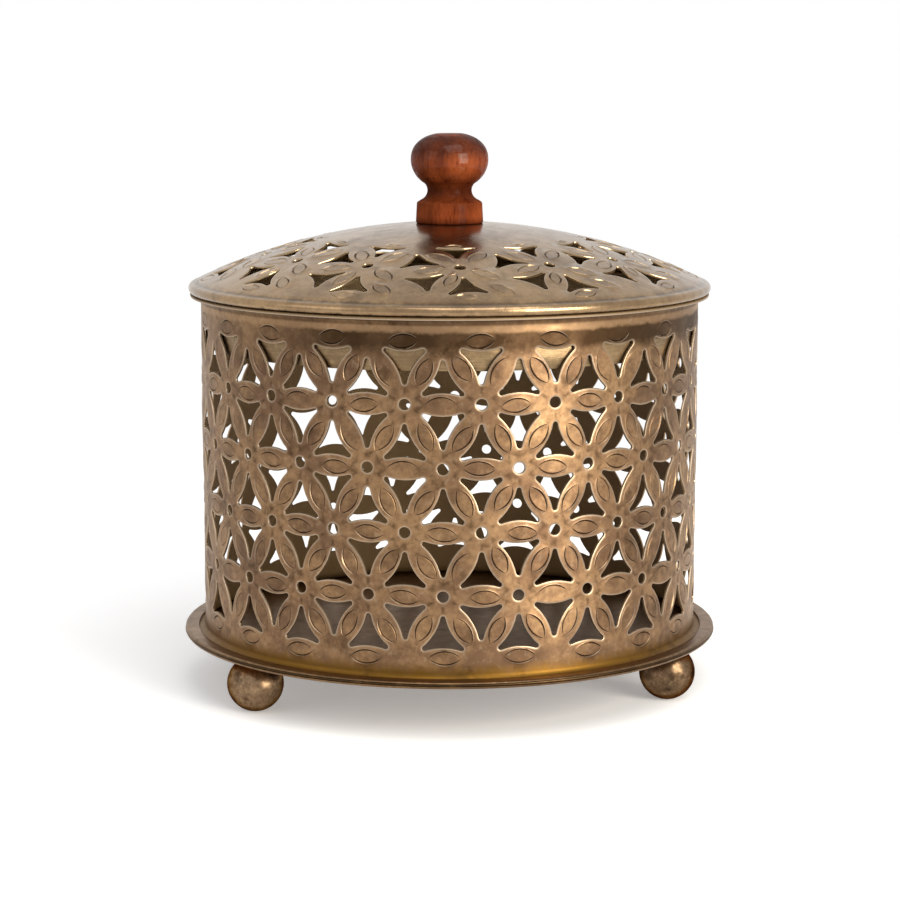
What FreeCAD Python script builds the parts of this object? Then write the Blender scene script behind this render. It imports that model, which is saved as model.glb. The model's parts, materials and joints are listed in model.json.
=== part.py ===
import FreeCAD, Part
import math
import os

# Incense burner: a pierced sheet-brass pot on three ball feet, with a pierced
# domed lid, a plain collar under the lid and a turned wooden knob.
# Millimetres, +Z up, origin on the ground below the middle, front towards -Y.

# Sheet metal, and the play of the pieces that slip into each other
SHEET = 0.5
COLLAR_PLAY = 0.4
COLLAR_EDGE_PLAY = 0.1
FLANGE_PLAY = 0.5
HEM_PLAY = 0.15
FOLD_PLAY = 0.2

# Ball feet, set in from the wall
FOOT_R = 6.0
FOOT_WEAR_R = 1.5
FOOT_SEAT_R = 2.0
FOOT_INSET = 3.0
FOOT_TURN_DEG = -53.5
FOOT_SIDES = ("front_left", "front_right", "rear")

# Wall with a lip turned out at each end; the rim lip droops at its edge
WALL_R = 54.0
WALL_H = 74.0
WALL_BEND_R = 1.2
FOOT_LIP_W = 2.4
RIM_FLAT_W = 0.6
RIM_EDGE_W = 0.5
RIM_DROOP = 0.15

# Flower lattice of the wall
FLOWER_PITCH = 15.4
ROW_PITCH = 12.95
PLAIN_BAND_H = 4.6
WALL_TURN_DEG = 6.8

# Petals: openings start HUB_R from a flower's centre and leave petals PETAL_W wide
HUB_R = 4.1
HUB_HOLE_R = 1.15
PETAL_W = 4.9

# Lid dome with a rolled edge
LID_OVERHANG = 0.35
LID_EDGE_R = 1.15
DOME_RISE = 15.0
CROWN_MARGIN = 1.7

# Ring of flowers in the lid, and the triangle of flower centres of its openings
LID_RING_INSET = 16.65
LID_FLOWER_PITCH = 19.2
LID_GAP_PITCH = 15.1
LID_GAP_H = 12.3
LID_TURN_DEG = 3.0

# Openings of one lid flower: to the right of its centre, out from its centre,
# lean in degrees, and 1 for a tip that points outwards or -1 inwards
LID_GAPS = (
    (-0.3, -8.6, 0.0, 1),
    (-8.2, -2.6, -15.0, -1),
    (-7.2, 6.3, -13.0, 1),
    (0.9, 8.9, -5.0, -1),
)

# Collar that hangs from the lid inside the wall
COLLAR_DEPTH = 11.0
COLLAR_BEND_R = 0.3

# Turned knob, from its foot up
KNOB_FOOT_R = 7.3
KNOB_FOOT_TOP_R = 7.1
KNOB_FOOT_H = 4.0
KNOB_SHOULDER_R = 6.2
KNOB_SHOULDER_H = 0.6
KNOB_NECK_R = 4.8
KNOB_NECK_H = 4.4
KNOB_WAIST_R = 6.0
KNOB_BULB_R = 8.4
KNOB_BULB_LOW_H = 4.7
KNOB_BULB_HIGH_H = 5.65
KNOB_TOP_R = 3.2

# Screw and washer that hold the knob from inside the lid
SCREW_R = 1.75
SCREW_HOLE_PLAY = 0.3
SCREW_PILOT_PLAY = 0.05
SCREW_GRIP = 11.0
SCREW_POINT_H = 2.0
SCREW_HEAD_R = 3.4
SCREW_HEAD_H = 2.0
WASHER_R = 5.0
WASHER_T = 0.8

# Feet and base: the base's edge is folded up and back over the foot lip
FOOT_Z = math.sqrt(FOOT_R ** 2 - FOOT_WEAR_R ** 2)
BASE_Z = FOOT_Z + math.sqrt(FOOT_R ** 2 - FOOT_SEAT_R ** 2)
FLOOR_Z = BASE_Z + SHEET
FOLD_R = 1.5 * SHEET
BEND_MID_R = WALL_R + WALL_BEND_R
FOOT_LIP_R = BEND_MID_R + FOOT_LIP_W
FOLD_MID_R = FOOT_LIP_R + HEM_PLAY

# Wall and its lattice
RIM_Z = FLOOR_Z + WALL_H
WALL_IN_R = WALL_R - SHEET
RIM_FLAT_R = BEND_MID_R + RIM_FLAT_W
RIM_LIP_R = RIM_FLAT_R + RIM_EDGE_W
FLOWERS_AROUND = round(2 * math.pi * WALL_R / FLOWER_PITCH)
FLOWER_STEP_DEG = 360 / FLOWERS_AROUND
GAP_ROWS = round((WALL_H - 2 * PLAIN_BAND_H) / ROW_PITCH)
FLOWER_ROWS = GAP_ROWS - 1
TOP_ROW_Z = FLOOR_Z + (WALL_H + (FLOWER_ROWS - 1) * ROW_PITCH) / 2

# Lid: the dome's curve runs smoothly into the rolled edge
LID_R = RIM_LIP_R + LID_OVERHANG
LID_RING_R = LID_R - LID_RING_INSET
LID_FLOWERS = round(2 * math.pi * LID_RING_R / LID_FLOWER_PITCH)
LID_STEP_DEG = 360 / LID_FLOWERS
EDGE_MID_R = LID_R - LID_EDGE_R
EDGE_MID_Z = RIM_Z + LID_EDGE_R
APEX_Z = RIM_Z + DOME_RISE
EDGE_DROP = APEX_Z - EDGE_MID_Z
DOME_R = (EDGE_MID_R ** 2 + EDGE_DROP ** 2 - LID_EDGE_R ** 2) / (2 * (EDGE_DROP - LID_EDGE_R))
DOME_MID_Z = APEX_Z - DOME_R
CROWN_R = KNOB_FOOT_R + CROWN_MARGIN
CROWN_Z = DOME_MID_Z + math.sqrt(DOME_R ** 2 - CROWN_R ** 2)

# Collar and knob fixing
COLLAR_R = WALL_IN_R - COLLAR_PLAY
HEM_IN_R = COLLAR_R + COLLAR_BEND_R + COLLAR_EDGE_PLAY
FLANGE_R = EDGE_MID_R - FLANGE_PLAY
SCREW_HOLE_R = SCREW_R + SCREW_HOLE_PLAY
WASHER_Z = CROWN_Z - SHEET - WASHER_T

ORIGIN = FreeCAD.Vector(0, 0, 0)
AXIS = FreeCAD.Vector(0, 0, 1)


def at(radius, height):
    """Point of a turned profile, in the plane through the axis."""
    return FreeCAD.Vector(radius, 0, height)


def line(start, end):
    """Straight edge between two points."""
    return Part.LineSegment(start, end).toShape()


def bow(start, middle, end):
    """Circular edge through three points."""
    return Part.Arc(start, middle, end).toShape()


def oval(centre, half_width, half_height, from_deg, to_deg):
    """Round edge of a turned profile; a quarter or half turn of an ellipse or circle."""
    points = []
    for step in range(5):
        angle = math.radians(from_deg + (to_deg - from_deg) * step / 4)
        points.append(centre + at(half_width * math.cos(angle), half_height * math.sin(angle)))
    if half_width == half_height:
        return bow(points[0], points[2], points[4])
    curve = Part.BSplineCurve()
    curve.interpolate(points)
    return curve.toShape()


def arc(centre, radius, from_deg, to_deg):
    """Circular edge of a turned profile, by its centre and two angles."""
    return oval(centre, radius, radius, from_deg, to_deg)


def turned(*edges):
    """Solid turned from a profile: straight edges close the gaps between those given."""
    profile = []
    for index, edge in enumerate(edges):
        profile.append(edge)
        end = edge.lastVertex(True).Point
        start = edges[(index + 1) % len(edges)].firstVertex(True).Point
        if end.distanceToPoint(start) > Part.Precision.confusion():
            profile.append(line(end, start))
    return Part.Face(Part.Wire(profile)).revolve(ORIGIN, AXIS, 360)


def spun(shape, degrees):
    """Copy of a shape, turned about the axis; positive goes from the front to +X."""
    copy = shape.copy()
    copy.rotate(ORIGIN, AXIS, degrees)
    return copy


def gap_outline(pitch, height, tip_side, lean_deg):
    """Opening between three petals, as its three tips and the middles of its three sides.

    The petals join three flower centres, at the corners of a triangle about the
    origin that is pitch wide and height high. A tip lies HUB_R from each corner,
    and each side bows inwards to half of PETAL_W from the petal's middle line.
    """
    low = -tip_side * height / 3
    corners = [
        FreeCAD.Vector(-pitch / 2, low, 0),
        FreeCAD.Vector(pitch / 2, low, 0),
        FreeCAD.Vector(0, -2 * low, 0),
    ]
    lean = FreeCAD.Rotation(AXIS, lean_deg)
    tips = []
    middles = []
    for index, corner in enumerate(corners):
        along = corners[(index + 1) % 3] - corner
        inwards = AXIS.cross(along).normalize() * tip_side
        tips.append(lean.multVec(corner * (1 - HUB_R / corner.Length)))
        middles.append(lean.multVec(corner + along * 0.5 + inwards * (PETAL_W / 2)))
    return tips, middles


def punch(outline, place, depth):
    """Cutting tool of one opening; place moves a point of the outline onto the sheet."""
    tips, middles = outline
    edges = []
    for index in range(3):
        end = tips[(index + 1) % 3]
        edges.append(bow(place(tips[index]), place(middles[index]), place(end)))
    return Part.Face(Part.Wire(edges)).extrude(depth)


def row_z(row):
    """Height of a row of flower centres, counted down from the top row."""
    return TOP_ROW_Z - row * ROW_PITCH


def wall_ring(tool, row):
    """Copies of a tool all round the wall, in line with the flowers of a row."""
    start = WALL_TURN_DEG + (row % 2) * FLOWER_STEP_DEG / 2
    return [spun(tool, start + index * FLOWER_STEP_DEG) for index in range(FLOWERS_AROUND)]


def wall_tools():
    """Tools that pierce the flower lattice through the wall."""
    start_y = -WALL_R - SHEET
    depth = FreeCAD.Vector(0, 3 * SHEET, 0)
    tools = []
    for row in range(FLOWER_ROWS):
        drill = Part.makeCylinder(HUB_HOLE_R, depth.Length, FreeCAD.Vector(0, start_y, row_z(row)), depth)
        tools += wall_ring(drill, row)
    for gap in range(GAP_ROWS):
        rows = ((gap - 1, 1, row_z(gap) + ROW_PITCH / 3), (gap, -1, row_z(gap - 1) - ROW_PITCH / 3))
        for tip_row, tip_side, height in rows:
            outline = gap_outline(2 * math.pi * WALL_R / FLOWERS_AROUND, ROW_PITCH, tip_side, 0)
            tool = punch(outline, lambda point: FreeCAD.Vector(point.x, start_y, height + point.y), depth)
            tools += wall_ring(tool, tip_row)
    return tools


def body_wall():
    """Pierced wall: a rolled sheet with a foot lip and a rim lip turned outwards."""
    outer_bend_r = WALL_BEND_R + SHEET
    low = at(BEND_MID_R, FLOOR_Z + outer_bend_r)
    high = at(BEND_MID_R, RIM_Z - outer_bend_r)
    rim_edge = at(RIM_LIP_R, RIM_Z - RIM_DROOP)
    sheet = turned(
        arc(low, WALL_BEND_R, 270, 180),
        arc(high, WALL_BEND_R, 180, 90),
        line(at(RIM_FLAT_R, RIM_Z - SHEET), rim_edge - AXIS * SHEET),
        line(rim_edge, at(RIM_FLAT_R, RIM_Z)),
        arc(high, outer_bend_r, 90, 180),
        arc(low, outer_bend_r, 180, 270),
        line(at(FOOT_LIP_R, FLOOR_Z), at(FOOT_LIP_R, FLOOR_Z + SHEET)),
    )
    return sheet.cut(wall_tools())


def base_plate():
    """Flat round floor whose edge is folded up and back over the foot lip."""
    fold_mid = at(FOLD_MID_R, BASE_Z + FOLD_R)
    fold_in_r = BEND_MID_R + FOLD_PLAY
    return turned(
        line(at(0, FLOOR_Z), at(0, BASE_Z)),
        arc(fold_mid, FOLD_R, -90, 90),
        line(at(fold_in_r, BASE_Z + 2 * FOLD_R), at(fold_in_r, BASE_Z + 2 * FOLD_R - SHEET)),
        arc(fold_mid, FOLD_R - SHEET, 90, -90),
    )


def foot(degrees):
    """Ball foot with a soldered seat on top and a worn flat where it stands."""
    wear_deg = math.degrees(math.acos(FOOT_WEAR_R / FOOT_R))
    seat_deg = math.degrees(math.acos(FOOT_SEAT_R / FOOT_R))
    ball = turned(
        line(at(0, BASE_Z), at(0, 0)),
        arc(at(0, FOOT_Z), FOOT_R, -wear_deg, seat_deg),
    )
    ball.translate(FreeCAD.Vector(0, FOOT_INSET - WALL_R, 0))
    return spun(ball, degrees)


def lid_tools():
    """Tools that pierce the ring of flowers through the dome."""
    depth = FreeCAD.Vector(0, 0, -DOME_RISE)
    tools = []
    drill = Part.makeCylinder(HUB_HOLE_R, DOME_RISE, FreeCAD.Vector(0, -LID_RING_R, APEX_Z), depth)
    for index in range(LID_FLOWERS):
        tools.append(spun(drill, LID_TURN_DEG + index * LID_STEP_DEG))
    for across, out, lean_deg, tip_side in LID_GAPS:
        radius = LID_RING_R + out
        start = LID_TURN_DEG + math.degrees(across / radius)
        outline = gap_outline(LID_GAP_PITCH, LID_GAP_H, tip_side, lean_deg)
        tool = punch(outline, lambda point: FreeCAD.Vector(point.x, -radius - point.y, APEX_Z), depth)
        for index in range(LID_FLOWERS):
            tools.append(spun(tool, start + index * LID_STEP_DEG))
    return tools


def lid_dome():
    """Pierced dome: flat crown under the knob, and an edge rolled under to rest on the rim."""
    dome_mid = at(0, DOME_MID_Z)
    edge_mid = at(EDGE_MID_R, EDGE_MID_Z)
    under_r = DOME_R - SHEET
    edge_deg = math.degrees(math.atan2(EDGE_MID_Z - DOME_MID_Z, EDGE_MID_R))
    crown_deg = math.degrees(math.acos(CROWN_R / DOME_R))
    under_deg = math.degrees(math.asin((CROWN_Z - SHEET - DOME_MID_Z) / under_r))
    sheet = turned(
        line(at(SCREW_HOLE_R, CROWN_Z - SHEET), at(SCREW_HOLE_R, CROWN_Z)),
        arc(dome_mid, DOME_R, crown_deg, edge_deg),
        arc(edge_mid, LID_EDGE_R, edge_deg, -90),
        line(at(HEM_IN_R, RIM_Z), at(HEM_IN_R, RIM_Z + SHEET)),
        arc(edge_mid, LID_EDGE_R - SHEET, -90, edge_deg),
        arc(dome_mid, under_r, edge_deg, under_deg),
    )
    return sheet.cut(lid_tools())


def lid_collar():
    """Plain sleeve that keeps the lid central, with a flange held in the rolled edge."""
    low_z = RIM_Z - COLLAR_DEPTH
    flange_z = RIM_Z + SHEET
    bend_mid = at(COLLAR_R + COLLAR_BEND_R, flange_z - COLLAR_BEND_R)
    return turned(
        line(at(COLLAR_R - SHEET, low_z), at(COLLAR_R, low_z)),
        arc(bend_mid, COLLAR_BEND_R, 180, 90),
        line(at(FLANGE_R, flange_z), at(FLANGE_R, flange_z + SHEET)),
        arc(bend_mid, COLLAR_BEND_R + SHEET, 90, 180),
    )


def knob():
    """Turned wooden knob: foot disc, neck and flat-topped bulb, bored for its screw."""
    shoulder_z = KNOB_FOOT_H + KNOB_SHOULDER_H
    waist_z = shoulder_z + KNOB_NECK_H
    bulb = at(0, waist_z + KNOB_BULB_LOW_H)
    top_z = bulb.z + KNOB_BULB_HIGH_H
    waist_deg = math.degrees(math.acos(KNOB_WAIST_R / KNOB_BULB_R))
    top_deg = math.degrees(math.acos(KNOB_TOP_R / KNOB_BULB_R))
    low_half_h = KNOB_BULB_LOW_H / math.sin(math.radians(waist_deg))
    high_half_h = KNOB_BULB_HIGH_H / math.sin(math.radians(top_deg))
    shoulder = at(KNOB_SHOULDER_R, shoulder_z)
    waist = at(KNOB_WAIST_R, waist_z)
    pilot_r = SCREW_R + SCREW_PILOT_PLAY
    pilot_z = SCREW_GRIP + SCREW_PILOT_PLAY
    wood = turned(
        line(at(0, top_z), at(0, pilot_z)),
        line(at(pilot_r, pilot_z), at(pilot_r, 0)),
        line(at(KNOB_FOOT_R, 0), at(KNOB_FOOT_TOP_R, KNOB_FOOT_H)),
        bow(shoulder, at(KNOB_NECK_R, (shoulder_z + waist_z) / 2), waist),
        oval(bulb, KNOB_BULB_R, low_half_h, -waist_deg, 0),
        oval(bulb, KNOB_BULB_R, high_half_h, 0, top_deg),
    )
    wood.translate(AXIS * CROWN_Z)
    return wood


def knob_screw():
    """Domed screw that goes up through washer and crown into the knob."""
    point_z = CROWN_Z + SCREW_GRIP
    head_curve_r = (SCREW_HEAD_R ** 2 + SCREW_HEAD_H ** 2) / (2 * SCREW_HEAD_H)
    head_mid = at(0, WASHER_Z - SCREW_HEAD_H + head_curve_r)
    head_deg = math.degrees(math.asin((WASHER_Z - head_mid.z) / head_curve_r))
    return turned(
        arc(head_mid, head_curve_r, -90, head_deg),
        line(at(SCREW_R, WASHER_Z), at(SCREW_R, point_z - SCREW_POINT_H)),
        line(at(0, point_z), at(0, WASHER_Z)),
    )


def knob_washer():
    """Plain washer that spreads the screw's pull under the crown."""
    return turned(
        line(at(SCREW_HOLE_R, WASHER_Z), at(WASHER_R, WASHER_Z)),
        line(at(WASHER_R, WASHER_Z + WASHER_T), at(SCREW_HOLE_R, WASHER_Z + WASHER_T)),
    )


def export(shape, node):
    """Write one node of the assembly."""
    shape.exportStep(os.path.join("parts", node + ".step"))


def main():
    """Build every node of the burner."""
    os.makedirs("parts", exist_ok=True)
    export(base_plate(), "base_plate")
    export(body_wall(), "body_wall")
    for index, side in enumerate(FOOT_SIDES):
        export(foot(FOOT_TURN_DEG + index * 360 / len(FOOT_SIDES)), "foot_" + side)
    export(lid_dome(), "lid_dome")
    export(lid_collar(), "lid_collar")
    export(knob(), "knob")
    export(knob_screw(), "knob_screw")
    export(knob_washer(), "knob_washer")


main()
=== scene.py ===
"""Looks of the pierced brass incense burner: every visible piece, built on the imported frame."""
from __future__ import annotations

import json
import logging
import math
from dataclasses import dataclass, field, replace
from enum import Enum
from random import Random
from typing import Any, Callable, Iterable, Optional, Sequence, Union

import bpy
from mathutils import Matrix, Vector
from mathutils.geometry import delaunay_2d_cdt

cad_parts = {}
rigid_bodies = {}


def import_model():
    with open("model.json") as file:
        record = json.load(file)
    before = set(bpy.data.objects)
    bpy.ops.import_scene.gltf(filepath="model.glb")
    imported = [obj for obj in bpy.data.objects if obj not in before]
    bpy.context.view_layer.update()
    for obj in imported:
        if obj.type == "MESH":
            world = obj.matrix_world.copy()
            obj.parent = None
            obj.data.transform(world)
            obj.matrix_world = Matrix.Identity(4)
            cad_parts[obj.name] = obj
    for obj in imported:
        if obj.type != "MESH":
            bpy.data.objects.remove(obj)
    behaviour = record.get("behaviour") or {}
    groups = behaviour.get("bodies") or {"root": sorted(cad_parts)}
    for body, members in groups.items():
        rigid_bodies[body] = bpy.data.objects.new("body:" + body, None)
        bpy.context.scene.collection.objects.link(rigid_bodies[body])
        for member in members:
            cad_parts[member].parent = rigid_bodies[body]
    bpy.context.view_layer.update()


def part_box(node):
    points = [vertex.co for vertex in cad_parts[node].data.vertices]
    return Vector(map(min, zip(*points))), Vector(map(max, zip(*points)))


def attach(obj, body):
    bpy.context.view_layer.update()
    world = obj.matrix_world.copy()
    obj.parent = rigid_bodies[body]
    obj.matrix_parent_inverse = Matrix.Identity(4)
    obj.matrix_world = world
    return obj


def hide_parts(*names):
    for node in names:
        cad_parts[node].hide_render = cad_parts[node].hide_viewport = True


LOG = logging.getLogger("incense_burner")
MM = 0.001
WHITE = (1.0, 1.0, 1.0)
POLE_MM = 1e-6
WELD_MM = 1e-6
FILL_INSIDE = 1

Colour = tuple[float, float, float]
Triple = tuple[float, float, float]
Point = tuple[float, float]
Span = tuple[float, float]
Bend = Callable[[float, float, float], Triple]


class Body(Enum):
    """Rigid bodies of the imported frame."""

    BASE = "base"
    LID = "lid"


class Slot(Enum):
    """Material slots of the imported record."""

    BODY = "body_brass"
    LID = "lid_brass"
    COLLAR = "collar_brass"
    FEET = "foot_brass"
    KNOB = "knob_wood"
    FASTENER = "fastener_steel"


class StampSides(Enum):
    """Which flanks of a leaf the punch has marked."""

    BOTH = (1, -1)
    UPPER = (1,)
    LOWER = (-1,)


class PatchKind(Enum):
    """Patches of the wall: a petal between two flowers, one that ends at a border, and the two borders."""

    FULL = "full"
    EDGE = "edge"
    RIM = "rim"
    FOOT = "foot"


class CutKind(Enum):
    """What a cut edge belongs to: an open run, a hole inside the sheet, or the sheet's whole outline."""

    RUN = "run"
    HOLE = "hole"
    OUTLINE = "outline"


def put(name: str, data: Any) -> bpy.types.Object:
    """Makes an object and links it into the scene."""
    made = bpy.data.objects.new(name, data)
    bpy.context.scene.collection.objects.link(made)
    return made


def shaped(source: bpy.types.Object, name: str) -> bpy.types.Mesh:
    """Makes a plain mesh of an object with its modifiers applied.

    Args:
        source: The object.
        name: Name of the mesh.

    Returns:
        The mesh, with all its attributes.
    """
    depsgraph = bpy.context.evaluated_depsgraph_get()
    done = source.evaluated_get(depsgraph)
    mesh = bpy.data.meshes.new_from_object(done, preserve_all_data_layers=True, depsgraph=depsgraph)
    mesh.name = name
    return mesh


def operator(operation: str, swapped: bool = False) -> Callable[[Sock, Number], Sock]:
    """Makes a Python operator that adds one Math node.

    Args:
        operation: The node's operation.
        swapped: True if the plain number comes first.

    Returns:
        A function that serves as an operator of Sock.
    """

    def apply(sock: Sock, other: Number) -> Sock:
        """Adds the node."""
        return sock.graph.math(operation, *((other, sock) if swapped else (sock, other)))

    return apply


class Sock:
    """A node's output that takes part in Python arithmetic by adding Math nodes."""

    def __init__(self, graph: Graph, socket: bpy.types.NodeSocket) -> None:
        """Wraps a socket of a graph."""
        self.graph = graph
        self.socket = socket

    __add__ = operator("ADD")
    __radd__ = operator("ADD", True)
    __sub__ = operator("SUBTRACT")
    __rsub__ = operator("SUBTRACT", True)
    __mul__ = operator("MULTIPLY")
    __rmul__ = operator("MULTIPLY", True)
    __truediv__ = operator("DIVIDE")
    __rtruediv__ = operator("DIVIDE", True)

    def __neg__(self) -> Sock:
        """Opposite."""
        return self * -1.0


Number = Union[Sock, float]


class Outs:
    """The outputs of one node, looked up by name or place."""

    def __init__(self, graph: Graph, node: bpy.types.Node) -> None:
        """Wraps a node of a graph."""
        self.graph = graph
        self.node = node

    def __getitem__(self, key: Union[str, int]) -> Sock:
        """Finds an output.

        Args:
            key: Its name, or its place among those in use.

        Returns:
            The output.
        """
        live = [socket for socket in self.node.outputs if socket.enabled]
        if isinstance(key, int):
            return Sock(self.graph, live[key])
        return Sock(self.graph, next(socket for socket in live if socket.name == key))


class Graph:
    """Adds nodes to one node tree."""

    def __init__(self, tree: bpy.types.NodeTree) -> None:
        """Wraps a tree."""
        self.tree = tree

    def node(
        self,
        kind: str,
        settings: Optional[dict[str, Any]] = None,
        inputs: Optional[dict[Union[str, int], Any]] = None,
    ) -> Outs:
        """Adds one node.

        Args:
            kind: Blender's type name of the node.
            settings: Its properties, set first.
            inputs: Values or links of its sockets, by name or place.

        Returns:
            The node's outputs.
        """
        made = self.tree.nodes.new(kind)
        for name, value in (settings or {}).items():
            setattr(made, name, value)
        live = [socket for socket in made.inputs if socket.enabled]
        for key, value in (inputs or {}).items():
            if isinstance(key, int):
                self.feed(live[key], value)
            else:
                self.feed(next(socket for socket in live if socket.name == key), value)
        return Outs(self, made)

    def feed(self, socket: bpy.types.NodeSocket, value: Any) -> None:
        """Links a socket, or sets its value.

        Args:
            socket: The input.
            value: A link, a list of links, or a plain value.
        """
        if isinstance(value, (Sock, list)):
            for one in value if isinstance(value, list) else [value]:
                self.tree.links.new(one.socket, socket)
        else:
            socket.default_value = value

    def math(self, operation: str, *values: Number) -> Sock:
        """One Math node."""
        return self.node("ShaderNodeMath", {"operation": operation}, dict(enumerate(values)))[0]

    def vector(self, operation: str, *values: Any) -> Sock:
        """One Vector Math node."""
        return self.node("ShaderNodeVectorMath", {"operation": operation}, dict(enumerate(values)))[0]

    def joined(self, **parts: Number) -> Sock:
        """A vector from its parts."""
        return self.node("ShaderNodeCombineXYZ", None, parts)[0]

    def parts(self, vector: Sock) -> Outs:
        """The parts of a vector."""
        return self.node("ShaderNodeSeparateXYZ", None, {0: vector})

    def clamp(self, value: Number, low: float, high: float) -> Sock:
        """A value kept between two limits."""
        return self.math("MINIMUM", self.math("MAXIMUM", value, low), high)

    def step(self, value: Number, low: float, high: float) -> Sock:
        """A smooth step from 0 at low to 1 at high."""
        settings = {"interpolation_type": "SMOOTHSTEP"}
        return self.node("ShaderNodeMapRange", settings, {0: value, 1: low, 2: high, 3: 0.0, 4: 1.0})[0]

    def mix(self, factor: Number, first: Any, second: Any) -> Sock:
        """A colour between two colours."""
        first, second = ((*one, 1.0) if isinstance(one, tuple) else one for one in (first, second))
        inputs = {"Factor": factor, "A": first, "B": second}
        return self.node("ShaderNodeMix", {"data_type": "RGBA"}, inputs)["Result"]

    def noise(
        self,
        vector: Sock,
        scale: float,
        detail: float = 3.0,
        rough: float = 0.55,
        output: Union[str, int] = 0,
    ) -> Sock:
        """Plain noise from 0 to 1, as a number or as a colour."""
        inputs = {"Vector": vector, "Scale": scale, "Detail": detail, "Roughness": rough}
        return self.node("ShaderNodeTexNoise", {"noise_dimensions": "3D"}, inputs)[output]


class GeometryTree(Graph):
    """A geometry node tree with named inputs and one geometry as its result."""

    def __init__(self, name: str, inputs: dict[str, str]) -> None:
        """Makes the tree.

        Args:
            name: Name of the tree.
            inputs: Name and kind of each input.
        """
        super().__init__(bpy.data.node_groups.new(name, "GeometryNodeTree"))
        self.tree.is_modifier = True
        for label, kind in inputs.items():
            self.tree.interface.new_socket(label, in_out="INPUT", socket_type="NodeSocket" + kind)
        self.tree.interface.new_socket("Geometry", in_out="OUTPUT", socket_type="NodeSocketGeometry")
        self.given = self.node("NodeGroupInput")
        self.result = self.tree.nodes.new("NodeGroupOutput")

    def finish(self, geometry: Sock) -> None:
        """Hands the geometry out."""
        self.feed(self.result.inputs[0], geometry)

    def run(self, name: str, values: dict[str, Any]) -> bpy.types.Mesh:
        """Evaluates the tree once.

        Args:
            name: Name of the mesh.
            values: A value for each named input.

        Returns:
            The result as a plain mesh.
        """
        blank = bpy.data.meshes.new(name + "_carrier")
        carrier = put(name + "_carrier", blank)
        modifier = carrier.modifiers.new(name, "NODES")
        modifier.node_group = self.tree
        for item in self.tree.interface.items_tree:
            if item.item_type == "SOCKET" and item.in_out == "INPUT":
                modifier[item.identifier] = values[item.name]
        mesh = shaped(carrier, name)
        bpy.data.objects.remove(carrier)
        bpy.data.meshes.remove(blank)
        return mesh


class Surface(Graph):
    """The node tree of one material, with its shader and its coordinates in millimetres."""

    def __init__(self, name: str) -> None:
        """Makes the material.

        Args:
            name: Name of the material.
        """
        self.material = bpy.data.materials.new(name)
        self.material.use_nodes = True
        super().__init__(self.material.node_tree)
        self.shader = next(node for node in self.tree.nodes if node.type == "BSDF_PRINCIPLED")
        where = self.node("ShaderNodeTexCoord")["Object"]
        self.place = self.vector("MULTIPLY", where, (1 / MM, 1 / MM, 1 / MM))

    def set(self, **sockets: Any) -> None:
        """Sets or links sockets of the shader; underscores stand for spaces."""
        for name, value in sockets.items():
            self.feed(self.shader.inputs[name.replace("_", " ")], value)

    def attribute(self, name: str) -> Sock:
        """A number that is stored on the mesh."""
        return self.node("ShaderNodeAttribute", {"attribute_name": name})["Fac"]

    def spread(self, noise: Triple, stretch: Optional[Triple] = None) -> Sock:
        """Noise of a scale, detail and roughness over the surface, stretched along its axes if so asked."""
        return self.noise(self.vector("MULTIPLY", self.place, stretch) if stretch else self.place, *noise)

    def bump(self, height: Sock, depth_mm: float) -> None:
        """Feeds a bump of that depth to the normal."""
        inputs = {"Height": height, "Distance": depth_mm * MM, "Strength": 1.0}
        self.set(Normal=self.node("ShaderNodeBump", None, inputs)["Normal"])


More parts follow.
